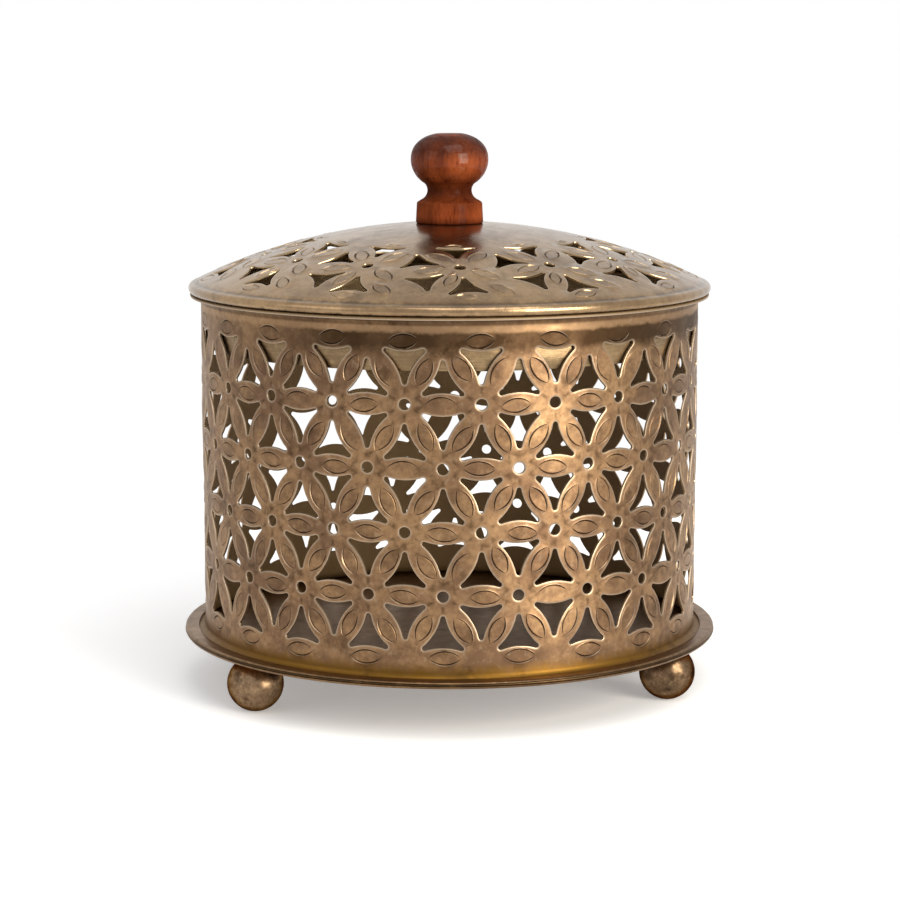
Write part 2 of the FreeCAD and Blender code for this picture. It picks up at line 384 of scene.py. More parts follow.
@dataclass(frozen=True)
class AgedBrass:
    """Sheet brass with a brown patina, bright worn edges and dark hollows, and painted light: painted shade
    under the lid and its lip, a painted highlight line at the top of that shade, and a painted tone band at a
    given height.

    A noise is given as scale per millimetre, detail and roughness. A span named so is where a smooth step
    starts and ends.
    """

    name: str
    bright: Colour
    patina: Colour
    tarnish: Colour
    inside: Colour
    edge: Colour
    roughness: float
    patina_share: float = 0.5
    brush: Triple = (1.0, 1.0, 1.0)
    brush_share: float = 0.15
    brush_depth_mm: float = 0.02
    # Painted shade under the lid's overhang: it rises from start to full and fades out from fade to end, and
    # it is stronger on one side.
    lid_shade_mm: tuple[float, float, float, float] = (1000.0, 1001.0, 1002.0, 1003.0)
    lid_shade_side_mm: Span = (-38.0, -20.0)
    # Colour of the painted highlight line at the top of the painted shade band.
    highlight_tone: Colour = (0.46, 0.29, 0.15)
    # Colour and span of the painted tone band: painted light reflected from a neighbouring part, and painted
    # shade from it. It covers heights below the span's start, and heights above when the span runs downwards.
    painted_tone: Colour = (0.17, 0.085, 0.014)
    painted_tone_mm: Span = (0.0, 0.1)
    grazing: Colour = WHITE
    mottle: float = 0.6
    stain: float = 0.45
    stain_scale: float = 0.17
    cloud_noise: Triple = (0.05, 3.0, 0.55)
    blotch_noise: Triple = (0.3, 5.0, 0.65)
    grain_noise: Triple = (0.9, 5.0, 0.65)
    speck_noise: Triple = (3.2, 4.0, 0.7)
    line_noise: Triple = (1.0, 4.0, 0.6)
    # Noise of the patches of painted shade under the lid.
    lid_shade_noise: Triple = (0.09, 2.0, 0.55)
    cloud_share: float = 0.6
    patina_blend: float = 0.12
    mottle_span: Span = (0.48, 0.66)
    gleam_span: Span = (0.46, 0.3)
    gleam: float = 0.35
    stain_detail: Span = (4.0, 0.6)
    stain_span: Span = (0.54, 0.7)
    spot_span: Span = (0.6, 0.74)
    spot: float = 0.3
    ragged_mm: float = 3.0
    # Raggedness of the painted highlight line.
    highlight_ragged_mm: float = 0.6
    # Painted shade under the lid by side, by noise and by patch; then the painted shade right under the lip,
    # and a cap on stains and painted shade together.
    lid_shade_side: Span = (0.82, 0.15)
    lid_shade_span: Span = (0.36, 0.58)
    lid_shade_patch: Span = (0.25, 0.75)
    lip_span_mm: Span = (0.5, 1.1)
    lip_shade: float = 0.5
    most_stain_and_shade: float = 0.92
    # Shares of the painted tone band and of the painted highlight line.
    painted_tone_share: float = 0.95
    highlight_share: float = 0.25
    inside_share: float = 0.9
    groove_span: Span = (0.42, 0.75)
    groove_pull: float = 0.3
    groove_share: float = 0.9
    wear_share: float = 0.8
    inside_dull: float = 0.55
    patina_turn: Span = (0.7, 0.4)
    blotch_rough: float = 0.22
    speck_rough: float = 0.12
    inside_rough: float = 0.14
    # Roughness added by stains and by the painted shade.
    stain_and_shade_rough: float = 0.1
    wear_smooth: float = 0.08
    rough_limits: Span = (0.12, 0.8)
    relief: Triple = (0.6, 0.3, 0.6)

    def make(self) -> bpy.types.Material:
        """Builds the material.

        Returns:
            A material that reads the attributes wear, groove and inner where a mesh has them.
        """
        surface = Surface(self.name)
        mix, step = surface.mix, surface.step
        wear, groove, inner = (surface.attribute(name) for name in ("wear", "groove", "inner"))
        blotch = surface.spread(self.blotch_noise)
        speck = surface.spread(self.speck_noise)
        lines = surface.spread(self.line_noise, self.brush)
        # Stains with the painted shade under the lid, the painted highlight line, and the painted tone band.
        stains_and_shade, painted_highlight, painted_tone_mask = self._stains_and_painted_light(surface, blotch, speck)
        colour = mix(painted_tone_mask * self.painted_tone_share, self._bare(surface, blotch, lines), self.painted_tone)
        # Stains and painted shade darken towards tarnish; the painted highlight line lightens the colour.
        colour = mix(stains_and_shade, colour, self.tarnish)
        colour = mix(painted_highlight * self.highlight_share, colour, self.highlight_tone)
        colour = mix(inner * self.inside_share, colour, self.inside)
        sunk = groove * step(blotch + groove * self.groove_pull, *self.groove_span)
        colour = mix(sunk * self.groove_share, colour, self.tarnish)
        colour = mix(wear * (1 - inner) * self.wear_share, colour, self.edge)
        rough = self.roughness + (blotch - 0.5) * self.blotch_rough + (speck - 0.5) * self.speck_rough
        rough = rough + inner * self.inside_rough + stains_and_shade * self.stain_and_shade_rough - wear * self.wear_smooth
        surface.set(Base_Color=colour, Metallic=1 - inner * self.inside_dull)
        surface.set(Roughness=surface.clamp(rough, *self.rough_limits), Specular_Tint=(*self.grazing, 1.0))
        by_lines, by_specks, by_blotches = self.relief
        surface.bump(lines * by_lines + speck * by_specks + blotch * by_blotches, self.brush_depth_mm)
        return surface.material

    def _bare(self, surface: Surface, blotch: Sock, lines: Sock) -> Sock:
        """Mixes brass and patina, before the stains and the painted light.

        Args:
            surface: Tree of the material.
            blotch: Broad noise.
            lines: Brushed noise.

        Returns:
            The colour.
        """
        mix, step = surface.mix, surface.step
        cloud = surface.spread(self.cloud_noise)
        grain = surface.spread(self.grain_noise)
        mixed = cloud * self.cloud_share + blotch * (1 - self.cloud_share)
        mixed = mixed * (1 - self.brush_share) + lines * self.brush_share
        bare, swing = self.patina_turn
        turn = bare - self.patina_share * swing
        browned = step(mixed, turn - self.patina_blend, turn + self.patina_blend)
        colour = mix(browned, self.bright, self.patina)
        colour = mix(step(grain, *self.mottle_span) * self.mottle, colour, self.patina)
        return mix(step(grain, *self.gleam_span) * self.mottle * self.gleam, colour, self.edge)

    def _stains_and_painted_light(self, surface: Surface, blotch: Sock, speck: Sock) -> tuple[Sock, Sock, Sock]:
        """Lays on stains and specks, and painted light: painted shade under the lid and its lip, a painted
        highlight line and a painted tone band.

        Args:
            surface: Tree of the material.
            blotch: Broad noise.
            speck: Fine noise.

        Returns:
            Shares of stains with painted shade, of the painted highlight line at the top of the painted shade
            band, and of the painted tone band.
        """
        step = surface.step
        stains = step(surface.spread((self.stain_scale, *self.stain_detail)), *self.stain_span) * self.stain
        spots = step(speck, *self.spot_span) * self.spot
        parts = surface.parts(surface.place)
        level = parts["Z"]
        rise = level + (blotch - 0.5) * self.ragged_mm
        # Painted shade under the lid, stronger on one side and in patches.
        gain, least = self.lid_shade_side
        lid_shade_strength = step(parts["X"], *self.lid_shade_side_mm) * gain + least
        gain, least = self.lid_shade_patch
        lid_shade_strength *= step(surface.spread(self.lid_shade_noise), *self.lid_shade_span) * gain + least
        start, full, fade, end = self.lid_shade_mm
        # Painted shade right under the lip, and the painted highlight line below it at the top of the painted
        # shade band.
        under_lip_shade = step(level, *(end + above for above in self.lip_span_mm))
        painted_highlight = step(level + (blotch - 0.5) * self.highlight_ragged_mm, fade, end) * (1 - under_lip_shade)
        lid_shade = step(rise, start, full) * (1 - step(rise, fade, end)) * lid_shade_strength
        # Stains and specks together with the painted shade.
        stains_and_shade = surface.clamp(stains + spots + lid_shade + under_lip_shade * self.lip_shade, 0.0, self.most_stain_and_shade)
        # The last share is the painted tone band at a height.
        return stains_and_shade, painted_highlight, 1 - step(rise, *self.painted_tone_mm)


@dataclass(frozen=True)
class LacqueredWood:
    """Reddish hardwood with upright grain under a worn clear lacquer."""

    name: str
    light: Colour
    middle: Colour
    dark: Colour
    lacquer_mm: Span = (108.0, 112.0)
    broad_grain: Triple = (0.2, 0.2, 0.06)
    broad_noise: Triple = (1.0, 3.0, 0.5)
    streak_grain: Triple = (1.3, 1.3, 0.17)
    streak_noise: Triple = (1.0, 5.0, 0.6)
    dash_grain: Triple = (4.2, 4.2, 0.45)
    dash_noise: Triple = (1.0, 3.0, 0.6)
    peel_noise: Triple = (1.1, 2.0, 0.5)
    tone_span: Span = (0.34, 0.62)
    streak_span: Span = (0.52, 0.7)
    dash_span: Span = (0.56, 0.68)
    peel_span: Span = (0.36, 0.6)
    grain_dark: float = 0.5
    shade_dark: float = 0.85
    tone_mix: Span = (0.6, 0.4)
    roughness: float = 0.34
    streak_rough: float = 0.2
    rough_limits: Span = (0.2, 0.6)
    coat: Span = (0.26, 0.05)
    coat_left: Span = (0.5, 0.5)
    coat_roughness: float = 0.1
    relief: Span = (0.4, 0.6)
    relief_mm: float = 0.05

    def make(self) -> bpy.types.Material:
        """Builds the material.

        Returns:
            A material with its grain along the turning axis, darkened by the attribute shade.
        """
        surface = Surface(self.name)
        mix, step = surface.mix, surface.step
        broad = surface.spread(self.broad_noise, self.broad_grain)
        streak = surface.spread(self.streak_noise, self.streak_grain)
        dashes = surface.spread(self.dash_noise, self.dash_grain)
        by_broad, by_streak = self.tone_mix
        tone = mix(step(broad * by_broad + streak * by_streak, *self.tone_span), self.middle, self.light)
        tone = mix(step(streak, *self.streak_span) * self.grain_dark, tone, self.dark)
        tone = mix(step(dashes, *self.dash_span) * self.grain_dark, tone, self.dark)
        tone = mix(surface.attribute("shade") * self.shade_dark, tone, self.dark)
        rough = self.roughness + (streak - 0.5) * self.streak_rough
        surface.set(Base_Color=tone, Roughness=surface.clamp(rough, *self.rough_limits))
        gain, least = self.coat
        coat = step(surface.parts(surface.place)["Z"], *self.lacquer_mm) * gain + least
        gain, least = self.coat_left
        coat *= step(surface.spread(self.peel_noise), *self.peel_span) * gain + least
        surface.set(Coat_Weight=coat, Coat_Roughness=self.coat_roughness, Specular_IOR_Level=0.0)
        by_streak, by_dash = self.relief
        surface.bump(streak * by_streak + dashes * by_dash, self.relief_mm)
        return surface.material


@dataclass(frozen=True)
class PlainSteel:
    """Zinc-grey steel of the fasteners."""

    name: str
    colour: Colour
    dulling: float = 0.6
    grain_noise: Triple = (2.5, 4.0, 0.6)
    grain_span: Span = (0.4, 0.7)
    roughness: float = 0.3
    grain_rough: float = 0.3
    rough_limits: Span = (0.15, 0.6)
    relief_mm: float = 0.02

    def make(self) -> bpy.types.Material:
        """Builds the material.

        Returns:
            A lightly scratched grey metal.
        """
        surface = Surface(self.name)
        grain = surface.spread(self.grain_noise)
        dull = tuple(part * self.dulling for part in self.colour)
        surface.set(Base_Color=surface.mix(surface.step(grain, *self.grain_span), self.colour, dull))
        rough = self.roughness + (grain - 0.5) * self.grain_rough
        surface.set(Metallic=1.0, Roughness=surface.clamp(rough, *self.rough_limits))
        surface.bump(grain, self.relief_mm)
        return surface.material


@dataclass(frozen=True)
class CutPoint:
    """A point on the front edge of a cut, with the way from there into the opening."""

    place: Vector
    into: Vector


@dataclass(frozen=True)
class CutSection:
    """Section of a cut edge: rounded at the front, straight down to the back."""

    sheet: float = 0.5
    edge_r: float = 0.22
    margin: float = 0.33
    steps: int = 2
    least_area: float = 1e-4
    wear: Triple = (0.45, 1.0, 0.1)

    def levels(self) -> list[Triple]:
        """Works out the section, from the front face down.

        Returns:
            Reach into the opening, height and wear at each level.
        """
        front, rounded, back = self.wear
        out = []
        for step in range(self.steps + 1):
            turn = math.pi / 2 * step / self.steps
            reach = self.edge_r * math.sin(turn)
            out.append((reach, -self.edge_r * (1 - math.cos(turn)), rounded if step else front))
        return out + [(self.edge_r, -self.sheet, back)]


@dataclass(frozen=True)
class PetalGap:
    """Bowed triangular opening between three petals, with rounded tips."""

    hub_r: float = 4.1
    petal_w: float = 4.9
    tip_r: float = 0.45
    tip_steps: int = 2
    side_steps: int = 6

    def sides(self, corners: Sequence[Vector], section: CutSection) -> list[list[CutPoint]]:
        """Front edge of the opening between three flower centres.

        Args:
            corners: The three flower centres.
            section: Section of the cut edge.

        Returns:
            One run of points for each side, from the middle of a tip to the middle of the next.
        """
        middle = (corners[0] + corners[1] + corners[2]) / 3
        tips = [corner + (middle - corner).normalized() * (self.hub_r + self.tip_r) for corner in corners]
        runs = []
        for index in range(3):
            after = (index + 1) % 3
            start, end = tips[index], tips[after]
            along = (corners[after] - corners[index]).normalized()
            inwards = Vector((-along.y, along.x))
            if inwards.dot(middle - corners[index]) < 0:
                inwards = -inwards
            half = (end - start).length / 2
            height = ((start - corners[index]).dot(inwards) + (end - corners[after]).dot(inwards)) / 2
            rise = height - self.petal_w / 2
            bow_r = (half ** 2 + rise ** 2 - self.tip_r ** 2) / (2 * (self.tip_r - rise))
            normal = Vector((start.y - end.y, end.x - start.x)).normalized()
            if normal.dot(inwards) < 0:
                normal = -normal
            bow_mid = (start + end) / 2 - normal * (bow_r + rise)
            run = self._tip(start, corners[index] - middle, bow_mid - start, section)
            first, last = (start - bow_mid).normalized(), (end - bow_mid).normalized()
            for step in range(1, self.side_steps):
                out = first.lerp(last, step / self.side_steps).normalized()
                run.append(CutPoint(bow_mid + out * (bow_r - section.edge_r), out))
            run += reversed(self._tip(end, corners[after] - middle, bow_mid - end, section))
            runs.append(run)
        return runs

    def _tip(self, centre: Vector, out: Vector, side: Vector, section: CutSection) -> list[CutPoint]:
        """Draws half of a rounded tip.

        Args:
            centre: Middle of the tip's arc.
            out: Way from the opening's middle to the tip.
            side: Way to the middle of the side's arc.
            section: Section of the cut edge.

        Returns:
            Points from the tip's middle to where the side starts.
        """
        run = []
        for step in range(self.tip_steps + 1):
            way = out.normalized().slerp(side.normalized(), step / self.tip_steps)
            run.append(CutPoint(centre + way * (self.tip_r + section.edge_r), -way))
        return run


def turns(from_deg: float, to_deg: float, steps: int) -> list[float]:
    """Evenly spaced angles of an arc with both its ends, in radians."""
    return [math.radians(from_deg + (to_deg - from_deg) * step / steps) for step in range(steps + 1)]


def on_circle(radius: float, turn: float) -> Vector:
    """A point of a circle about the origin."""
    return Vector((radius * math.cos(turn), radius * math.sin(turn)))


def round_cut(centre: Vector, radius: float, from_deg: float, to_deg: float, steps: int) -> list[CutPoint]:
    """Arc of a round hole's front edge, with the ways towards its centre."""
    ways = [on_circle(1.0, turn) for turn in turns(from_deg, to_deg, steps)]
    return [CutPoint(centre + way * radius, -way) for way in ways]


@dataclass(frozen=True)
class Leaf:
    """Leaf-shaped mark of a curved punch: one or two thin bowed grooves."""

    place: Vector
    turn_deg: float
    sides: StampSides
    length: float
    width: float
    groove_w: float
    depth: float
    burr: float
    sunk: float = 0.04
    burr_w: float = 0.18
    burr_wear: float = 0.5
    end_depth: float = 0.2
    end_grime: float = 0.4
    flank_grime: float = 0.3
    least_depth: float = 0.35
    steps: int = 8

    def local(self, x: float, y: float) -> Vector:
        """A point of the leaf, on the sheet."""
        return self.place + Matrix.Rotation(math.radians(self.turn_deg), 2) @ Vector((x, y))

    def flank(self, side: int, step: int, shift: float) -> Vector:
        """Finds a point beside a flank's line.

        Args:
            side: 1 for the upper flank, -1 for the lower one.
            step: Step along the flank.
            shift: How far out of the leaf the point is moved.

        Returns:
            The point, on the sheet.
        """
        half_l, half_w = self.length / 2, self.width / 2
        bow_r = (half_l ** 2 + half_w ** 2) / (2 * half_w)
        turn = math.asin(half_l / bow_r) * (2 * step / self.steps - 1)
        radius = bow_r + shift
        return self.local(radius * math.sin(turn), side * (radius * math.cos(turn) - bow_r + half_w))

    def outline(self) -> list[Vector]:
        """Points round the outer edge of the mark."""
        shift = self.groove_w / 2 + self.burr_w
        return [self.flank(side, step, shift) for side in self.sides.value for step in range(self.steps + 1)]

    def clear_of(self, point: Vector, margin: float) -> bool:
        """True if a point of the sheet is outside the leaf by a margin."""
        local = Matrix.Rotation(-math.radians(self.turn_deg), 2) @ (point - self.place)
        half_l, half_w = self.length / 2 + margin, self.width / 2 + margin
        return (local.x / half_l) ** 2 + (local.y / half_w) ** 2 > 1


@dataclass(frozen=True)
class Punch:
    """A curved punch: what it marks, and how far the hand strays in turning it."""

    length: Span
    width: float
    groove_w: float
    depth: float
    burr: float
    stray_deg: float

    def leaf(
        self,
        wild: Callable[[float, float], float],
        place: Vector,
        turn_deg: float,
        sides: StampSides = StampSides.BOTH,
    ) -> Leaf:
        """A leaf set by hand.

        Args:
            wild: Draws a number between two limits.
            place: Middle of the leaf.
            turn_deg: Turn that the hand aims at.
            sides: The flanks that are marked.

        Returns:
            The leaf, with its own turn and length.
        """
        turn_deg += wild(-self.stray_deg, self.stray_deg)
        length = wild(*self.length)
        return Leaf(place, turn_deg, sides, length, self.width, self.groove_w, self.depth, self.burr)


def inside(loop: Sequence[Vector], place: Vector, reach: float = 20.0) -> bool:
    """Tells whether a place lies inside a closed loop.

    Args:
        loop: Corners of the loop.
        place: The place.
        reach: A length that no loop exceeds.

    Returns:
        True if it lies inside.
    """
    if abs(loop[0].x - place.x) > reach or abs(loop[0].y - place.y) > reach:
        return False
    found = False
    for here, after in zip(loop, loop[1:] + loop[:1]):
        if (here.y > place.y) != (after.y > place.y):
            cross = here.x + (place.y - here.y) / (after.y - here.y) * (after.x - here.x)
            found = found != (cross > place.x)
    return found


def store(mesh: bpy.types.Mesh, label: str, values: Sequence[float]) -> None:
    """Keeps a number for each point of a mesh."""
    mesh.attributes.new(label, "FLOAT", "POINT").data.foreach_set("value", values)


class SheetPatch:
    """A flat piece of sheet, with cut edges, stamped leaves and a back face, in millimetres.

    Points of the outline that lie on no cut edge meet the next patch.
    """

    def __init__(self, section: CutSection) -> None:
        """Starts an empty patch.

        Args:
            section: Section of its cut edges.
        """
        self.section = section
        self.front: list[tuple[Vector, float, float, float]] = []
        self.back: list[Vector] = []
        self.back_of: dict[int, int] = {}
        self.front_edges: list[tuple[int, int]] = []
        self.back_edges: list[tuple[int, int]] = []
        self.runs: list[tuple[list[int], list[CutPoint]]] = []
        self.holes: list[list[int]] = []
        self.outline: list[int] = []

    def point(self, place: Vector, height: float = 0.0, wear: float = 0.0, groove: float = 0.0) -> int:
        """Adds a point of the front face only."""
        self.front.append((place, height, wear, groove))
        return len(self.front) - 1

    def through(self, place: Vector, groove: float = 0.0) -> int:
        """Adds a point of both faces."""
        return self._backed(self.point(place, 0.0, 0.0, groove), place)

    def _backed(self, number: int, place: Vector) -> int:
        """Gives a front point its partner on the back face."""
        self.back_of[number] = len(self.back)
        self.back.append(place)
        return number

    def cut(self, run: Sequence[CutPoint], kind: CutKind = CutKind.RUN) -> list[int]:
        """Adds a cut edge and returns its points on the front face.

        Args:
            run: The points of its front edge.
            kind: What the edge belongs to.

        Returns:
            Numbers of the front points.
        """
        (_, _, worn), *_, (reach, _, _) = self.section.levels()
        numbers = []
        for cut in run:
            numbers.append(self._backed(self.point(cut.place, 0.0, worn), cut.place + cut.into * reach))
        inset = [self.point(cut.place - cut.into * self.section.margin) for cut in run[1:-1]]
        self.front_edges += list(zip(inset, inset[1:]))
        closed = kind is not CutKind.RUN
        self.runs.append((numbers + numbers[:closed], list(run) + list(run[:closed])))
        if closed:
            self.ring(numbers)
        if kind is CutKind.HOLE:
            self.holes.append(numbers)
        return numbers

    def ring(self, numbers: Sequence[int]) -> None:
        """Ties points into a closed line that the faces keep.

        Args:
            numbers: Points of both faces, in order.
        """
        for index, number in enumerate(numbers):
            after = numbers[(index + 1) % len(numbers)]
            self.front_edges.append((number, after))
            self.back_edges.append((self.back_of[number], self.back_of[after]))

    def stamp(self, leaf: Leaf) -> None:
        """Presses a leaf into the front face; its groove is shallow at the ends and has a burr outside.

        Args:
            leaf: The leaf.
        """
        half_l = leaf.length / 2
        end = (-leaf.depth * leaf.end_depth, 0.0, leaf.end_grime)
        ends = [self.point(leaf.local(x, 0), *end) for x in (-half_l, half_l)]
        for side in leaf.sides.value:
            lines = [[ends[0]] for _ in range(4)]
            for step in range(1, leaf.steps):
                swell = math.sin(math.pi * step / leaf.steps)
                spread = leaf.groove_w / 2 * math.sqrt(swell)
                deep = leaf.depth * (leaf.least_depth + (1 - leaf.least_depth) * swell)
                marks = (
                    (-spread, -leaf.sunk * swell, 0.0, leaf.flank_grime),
                    (0.0, -deep, 0.0, 1.0),
                    (spread, leaf.burr * swell, leaf.burr_wear, 0.0),
                    (spread + leaf.burr_w * swell, 0.0, 0.0, 0.0),
                )
                for line, (shift, height, wear, groove) in zip(lines, marks):
                    line.append(self.point(leaf.flank(side, step, shift), height, wear, groove))
            for line in lines:
                line.append(ends[1])
                self.front_edges += list(zip(line, line[1:]))

    def bound(self, numbers: Sequence[int]) -> None:
        """Ties points into the outline of a patch whose edge is not all cut."""
        self.ring(numbers)
        self.outline = list(numbers)

    def is_clear(self, place: Vector, margin: float) -> bool:
        """Tells whether a place of the sheet keeps clear of every hole.

        Args:
            place: The place.
            margin: Least distance from the corners of an edge.

        Returns:
            True if it does.
        """
        for numbers in self.holes:
            loop = [self.front[number][0] for number in numbers]
            if any((corner - place).length < margin for corner in loop) or inside(loop, place):
                return False
        return True

    def _triangles(
        self,
        places: list[Vector],
        edges: Sequence[tuple[int, int]],
        holes: Sequence[Sequence[int]],
        outline: Sequence[int],
    ) -> list[tuple[int, ...]]:
        """Fills one face with triangles; places where lines cross are added to the places.

        Args:
            places: Points of the face.
            edges: Pairs of points that stay joined.
            holes: Loops of points that stay open.
            outline: Loop that bounds the face, or empty if its outline bulges nowhere inwards.

        Returns:
            Triangles as numbers of points, anticlockwise.
        """
        loops = [[places[number] for number in loop] for loop in holes]
        border = [places[number] for number in outline]
        found = delaunay_2d_cdt(places, edges, [], FILL_INSIDE, WELD_MM, True)
        numbers = []
        for place, given in zip(found[0], found[3]):
            if not given:
                places.append(place)
            numbers.append(given[0] if given else len(places) - 1)
        faces = []
        for face in found[2]:
            corners = [numbers[index] for index in face]
            a, b, c = (places[index] for index in corners)
            middle = (a + b + c) / 3
            if border and not inside(border, middle) or any(inside(loop, middle) for loop in loops):
                continue
            turn = (b - a).cross(c - a)
            on_seam = set(corners).issubset(outline) and abs(turn) < self.section.least_area
            if not on_seam:
                faces.append(tuple(corners if turn > 0 else reversed(corners)))
        return faces

    def mesh(self, name: str, bend: Optional[Bend] = None) -> bpy.types.Mesh:
        """Builds the patch.

        Args:
            name: Name of the mesh.
            bend: Moves a point of the flat patch, in millimetres, to where it belongs.

        Returns:
            A mesh in metres with the attributes wear, groove and inner.
        """
        places = [place for place, _, _, _ in self.front]
        faces = self._triangles(places, self.front_edges, self.holes, self.outline)
        for place in places[len(self.front):]:
            self.point(place)
        points = [(place, height, wear, groove, 0.0) for place, height, wear, groove in self.front]
        start = len(points)
        holes = [[self.back_of[number] for number in loop] for loop in self.holes]
        outline = [self.back_of[number] for number in self.outline]
        back_faces = self._triangles(self.back, self.back_edges, holes, outline)
        points += [(place, -self.section.sheet, 0.0, 0.0, 1.0) for place in self.back]
        faces += [tuple(start + index for index in reversed(face)) for face in back_faces]
        for numbers, run in self.runs:
            rows = [list(numbers)]
            closed = numbers[0] == numbers[-1]
            for reach, height, worn in self.section.levels()[1:-1]:
                row = list(range(len(points), len(points) + len(run) - closed))
                points += [(cut.place + cut.into * reach, height, worn, 0.0, 0.0) for cut in run[:len(row)]]
                rows.append(row + row[:closed])
            rows.append([start + self.back_of[number] for number in numbers])
            faces += self._walls(rows, run)
        verts = [(place.x, place.y, height) for place, height, _, _, _ in points]
        if bend:
            verts = [bend(*vert) for vert in verts]
        mesh = bpy.data.meshes.new(name)
        mesh.from_pydata([tuple(part * MM for part in vert) for vert in verts], [], faces)
        for column, label in enumerate(("wear", "groove", "inner"), 2):
            store(mesh, label, [point[column] for point in points])
        mesh.update()
        return mesh

    @staticmethod
    def _walls(rows: Sequence[Sequence[int]], run: Sequence[CutPoint]) -> list[tuple[int, ...]]:
        """Joins the rows of points down a cut edge.

        Args:
            rows: Numbers of the points at each level.
            run: The cut points.

        Returns:
            Faces that look into the opening.
        """
        faces = []
        for high, low in zip(rows, rows[1:]):
            for index in range(len(run) - 1):
                along = run[index + 1].place - run[index].place
                quad = (high[index], high[index + 1], low[index + 1], low[index])
                left = Vector((-along.y, along.x)).dot(run[index].into + run[index + 1].into) > 0
                faces.append(quad if left else tuple(reversed(quad)))
        return faces


def add_piece(
    name: str,
    mesh: bpy.types.Mesh,
    material: bpy.types.Material,
    body: Body,
    slot: Slot,
    nodes: Sequence[str],
    crease_deg: float = 50.0,
) -> bpy.types.Object:
    """Puts a finished piece into the scene.

    Args:
        name: Name of the piece.
        mesh: Its mesh, in place, in metres.
        material: Its finish.
        body: The body that it rides on.
        slot: The record's slot that its finish stands for; not used.
        nodes: The frame's nodes that it stands for.
        crease_deg: Edges that turn by more than this stay sharp.

    Returns:
        The new object.
    """
    mesh.materials.clear()
    mesh.materials.append(material)
    mesh.shade_smooth()
    mesh.set_sharp_from_angle(angle=math.radians(crease_deg))
    piece = put(name, mesh)
    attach(piece, body.value)
    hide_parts(*nodes)
    LOG.info("%s: %d faces on %s", name, len(mesh.polygons), body.value)
    return piece


@dataclass(frozen=True)
class Turning:
    """Closed or open outline turned about an upright axis, in millimetres."""

    outline: Sequence[Point]
    around: int = 192
    closed: bool = True
    centre: Point = (0.0, 0.0)

    def mesh(
        self,
        name: str,
        shade: Optional[Callable[[float, float], float]] = None,
        label: str = "shade",
    ) -> bpy.types.Mesh:
        """Turns the outline.

        Args:
            name: Name of the mesh.
            shade: Gives a value from radius and height, kept as an attribute.
            label: Name of that attribute.

        Returns:
            A mesh in metres, with poles closed and faces outwards if the outline runs anticlockwise.
        """
        verts: list[Triple] = []
        values: list[float] = []
        rings: list[list[int]] = []
        for radius, height in self.outline:
            ring = []
            for index in range(1 if radius < POLE_MM else self.around):
                turn = 2 * math.pi * index / self.around
                ring.append(len(verts))
                x = self.centre[0] + radius * math.cos(turn)
                y = self.centre[1] + radius * math.sin(turn)
                verts.append((x * MM, y * MM, height * MM))
                values.append(shade(radius, height) if shade else 0.0)
            rings.append(ring)
        faces: list[tuple[int, ...]] = []
        for low, high in zip(rings, rings[1:] + rings[:self.closed]):
            for index in range(self.around):
                after = (index + 1) % self.around
                lower = (low[index % len(low)], low[after % len(low)])
                upper = (high[after % len(high)], high[index % len(high)])
                corners = tuple(dict.fromkeys(lower + upper))
                if len(corners) > 2:
                    faces.append(corners)
        mesh = bpy.data.meshes.new(name)
        mesh.from_pydata(verts, [], faces)
        store(mesh, label, values)
        mesh.update()
        return mesh


def arc_points(centre: Point, radius: float, from_deg: float, to_deg: float, steps: int) -> list[Point]:
    """Points of a circular stretch of an outline."""
    x, y = centre
    arc = turns(from_deg, to_deg, steps)
    return [(x + radius * math.cos(turn), y + radius * math.sin(turn)) for turn in arc]


def run_points(start: Point, end: Point, steps: int) -> list[Point]:
    """Evenly spaced points of a straight stretch, without its ends."""
    across, up = end[0] - start[0], end[1] - start[1]
    shares = [step / steps for step in range(1, steps)]
    return [(start[0] + across * share, start[1] + up * share) for share in shares]


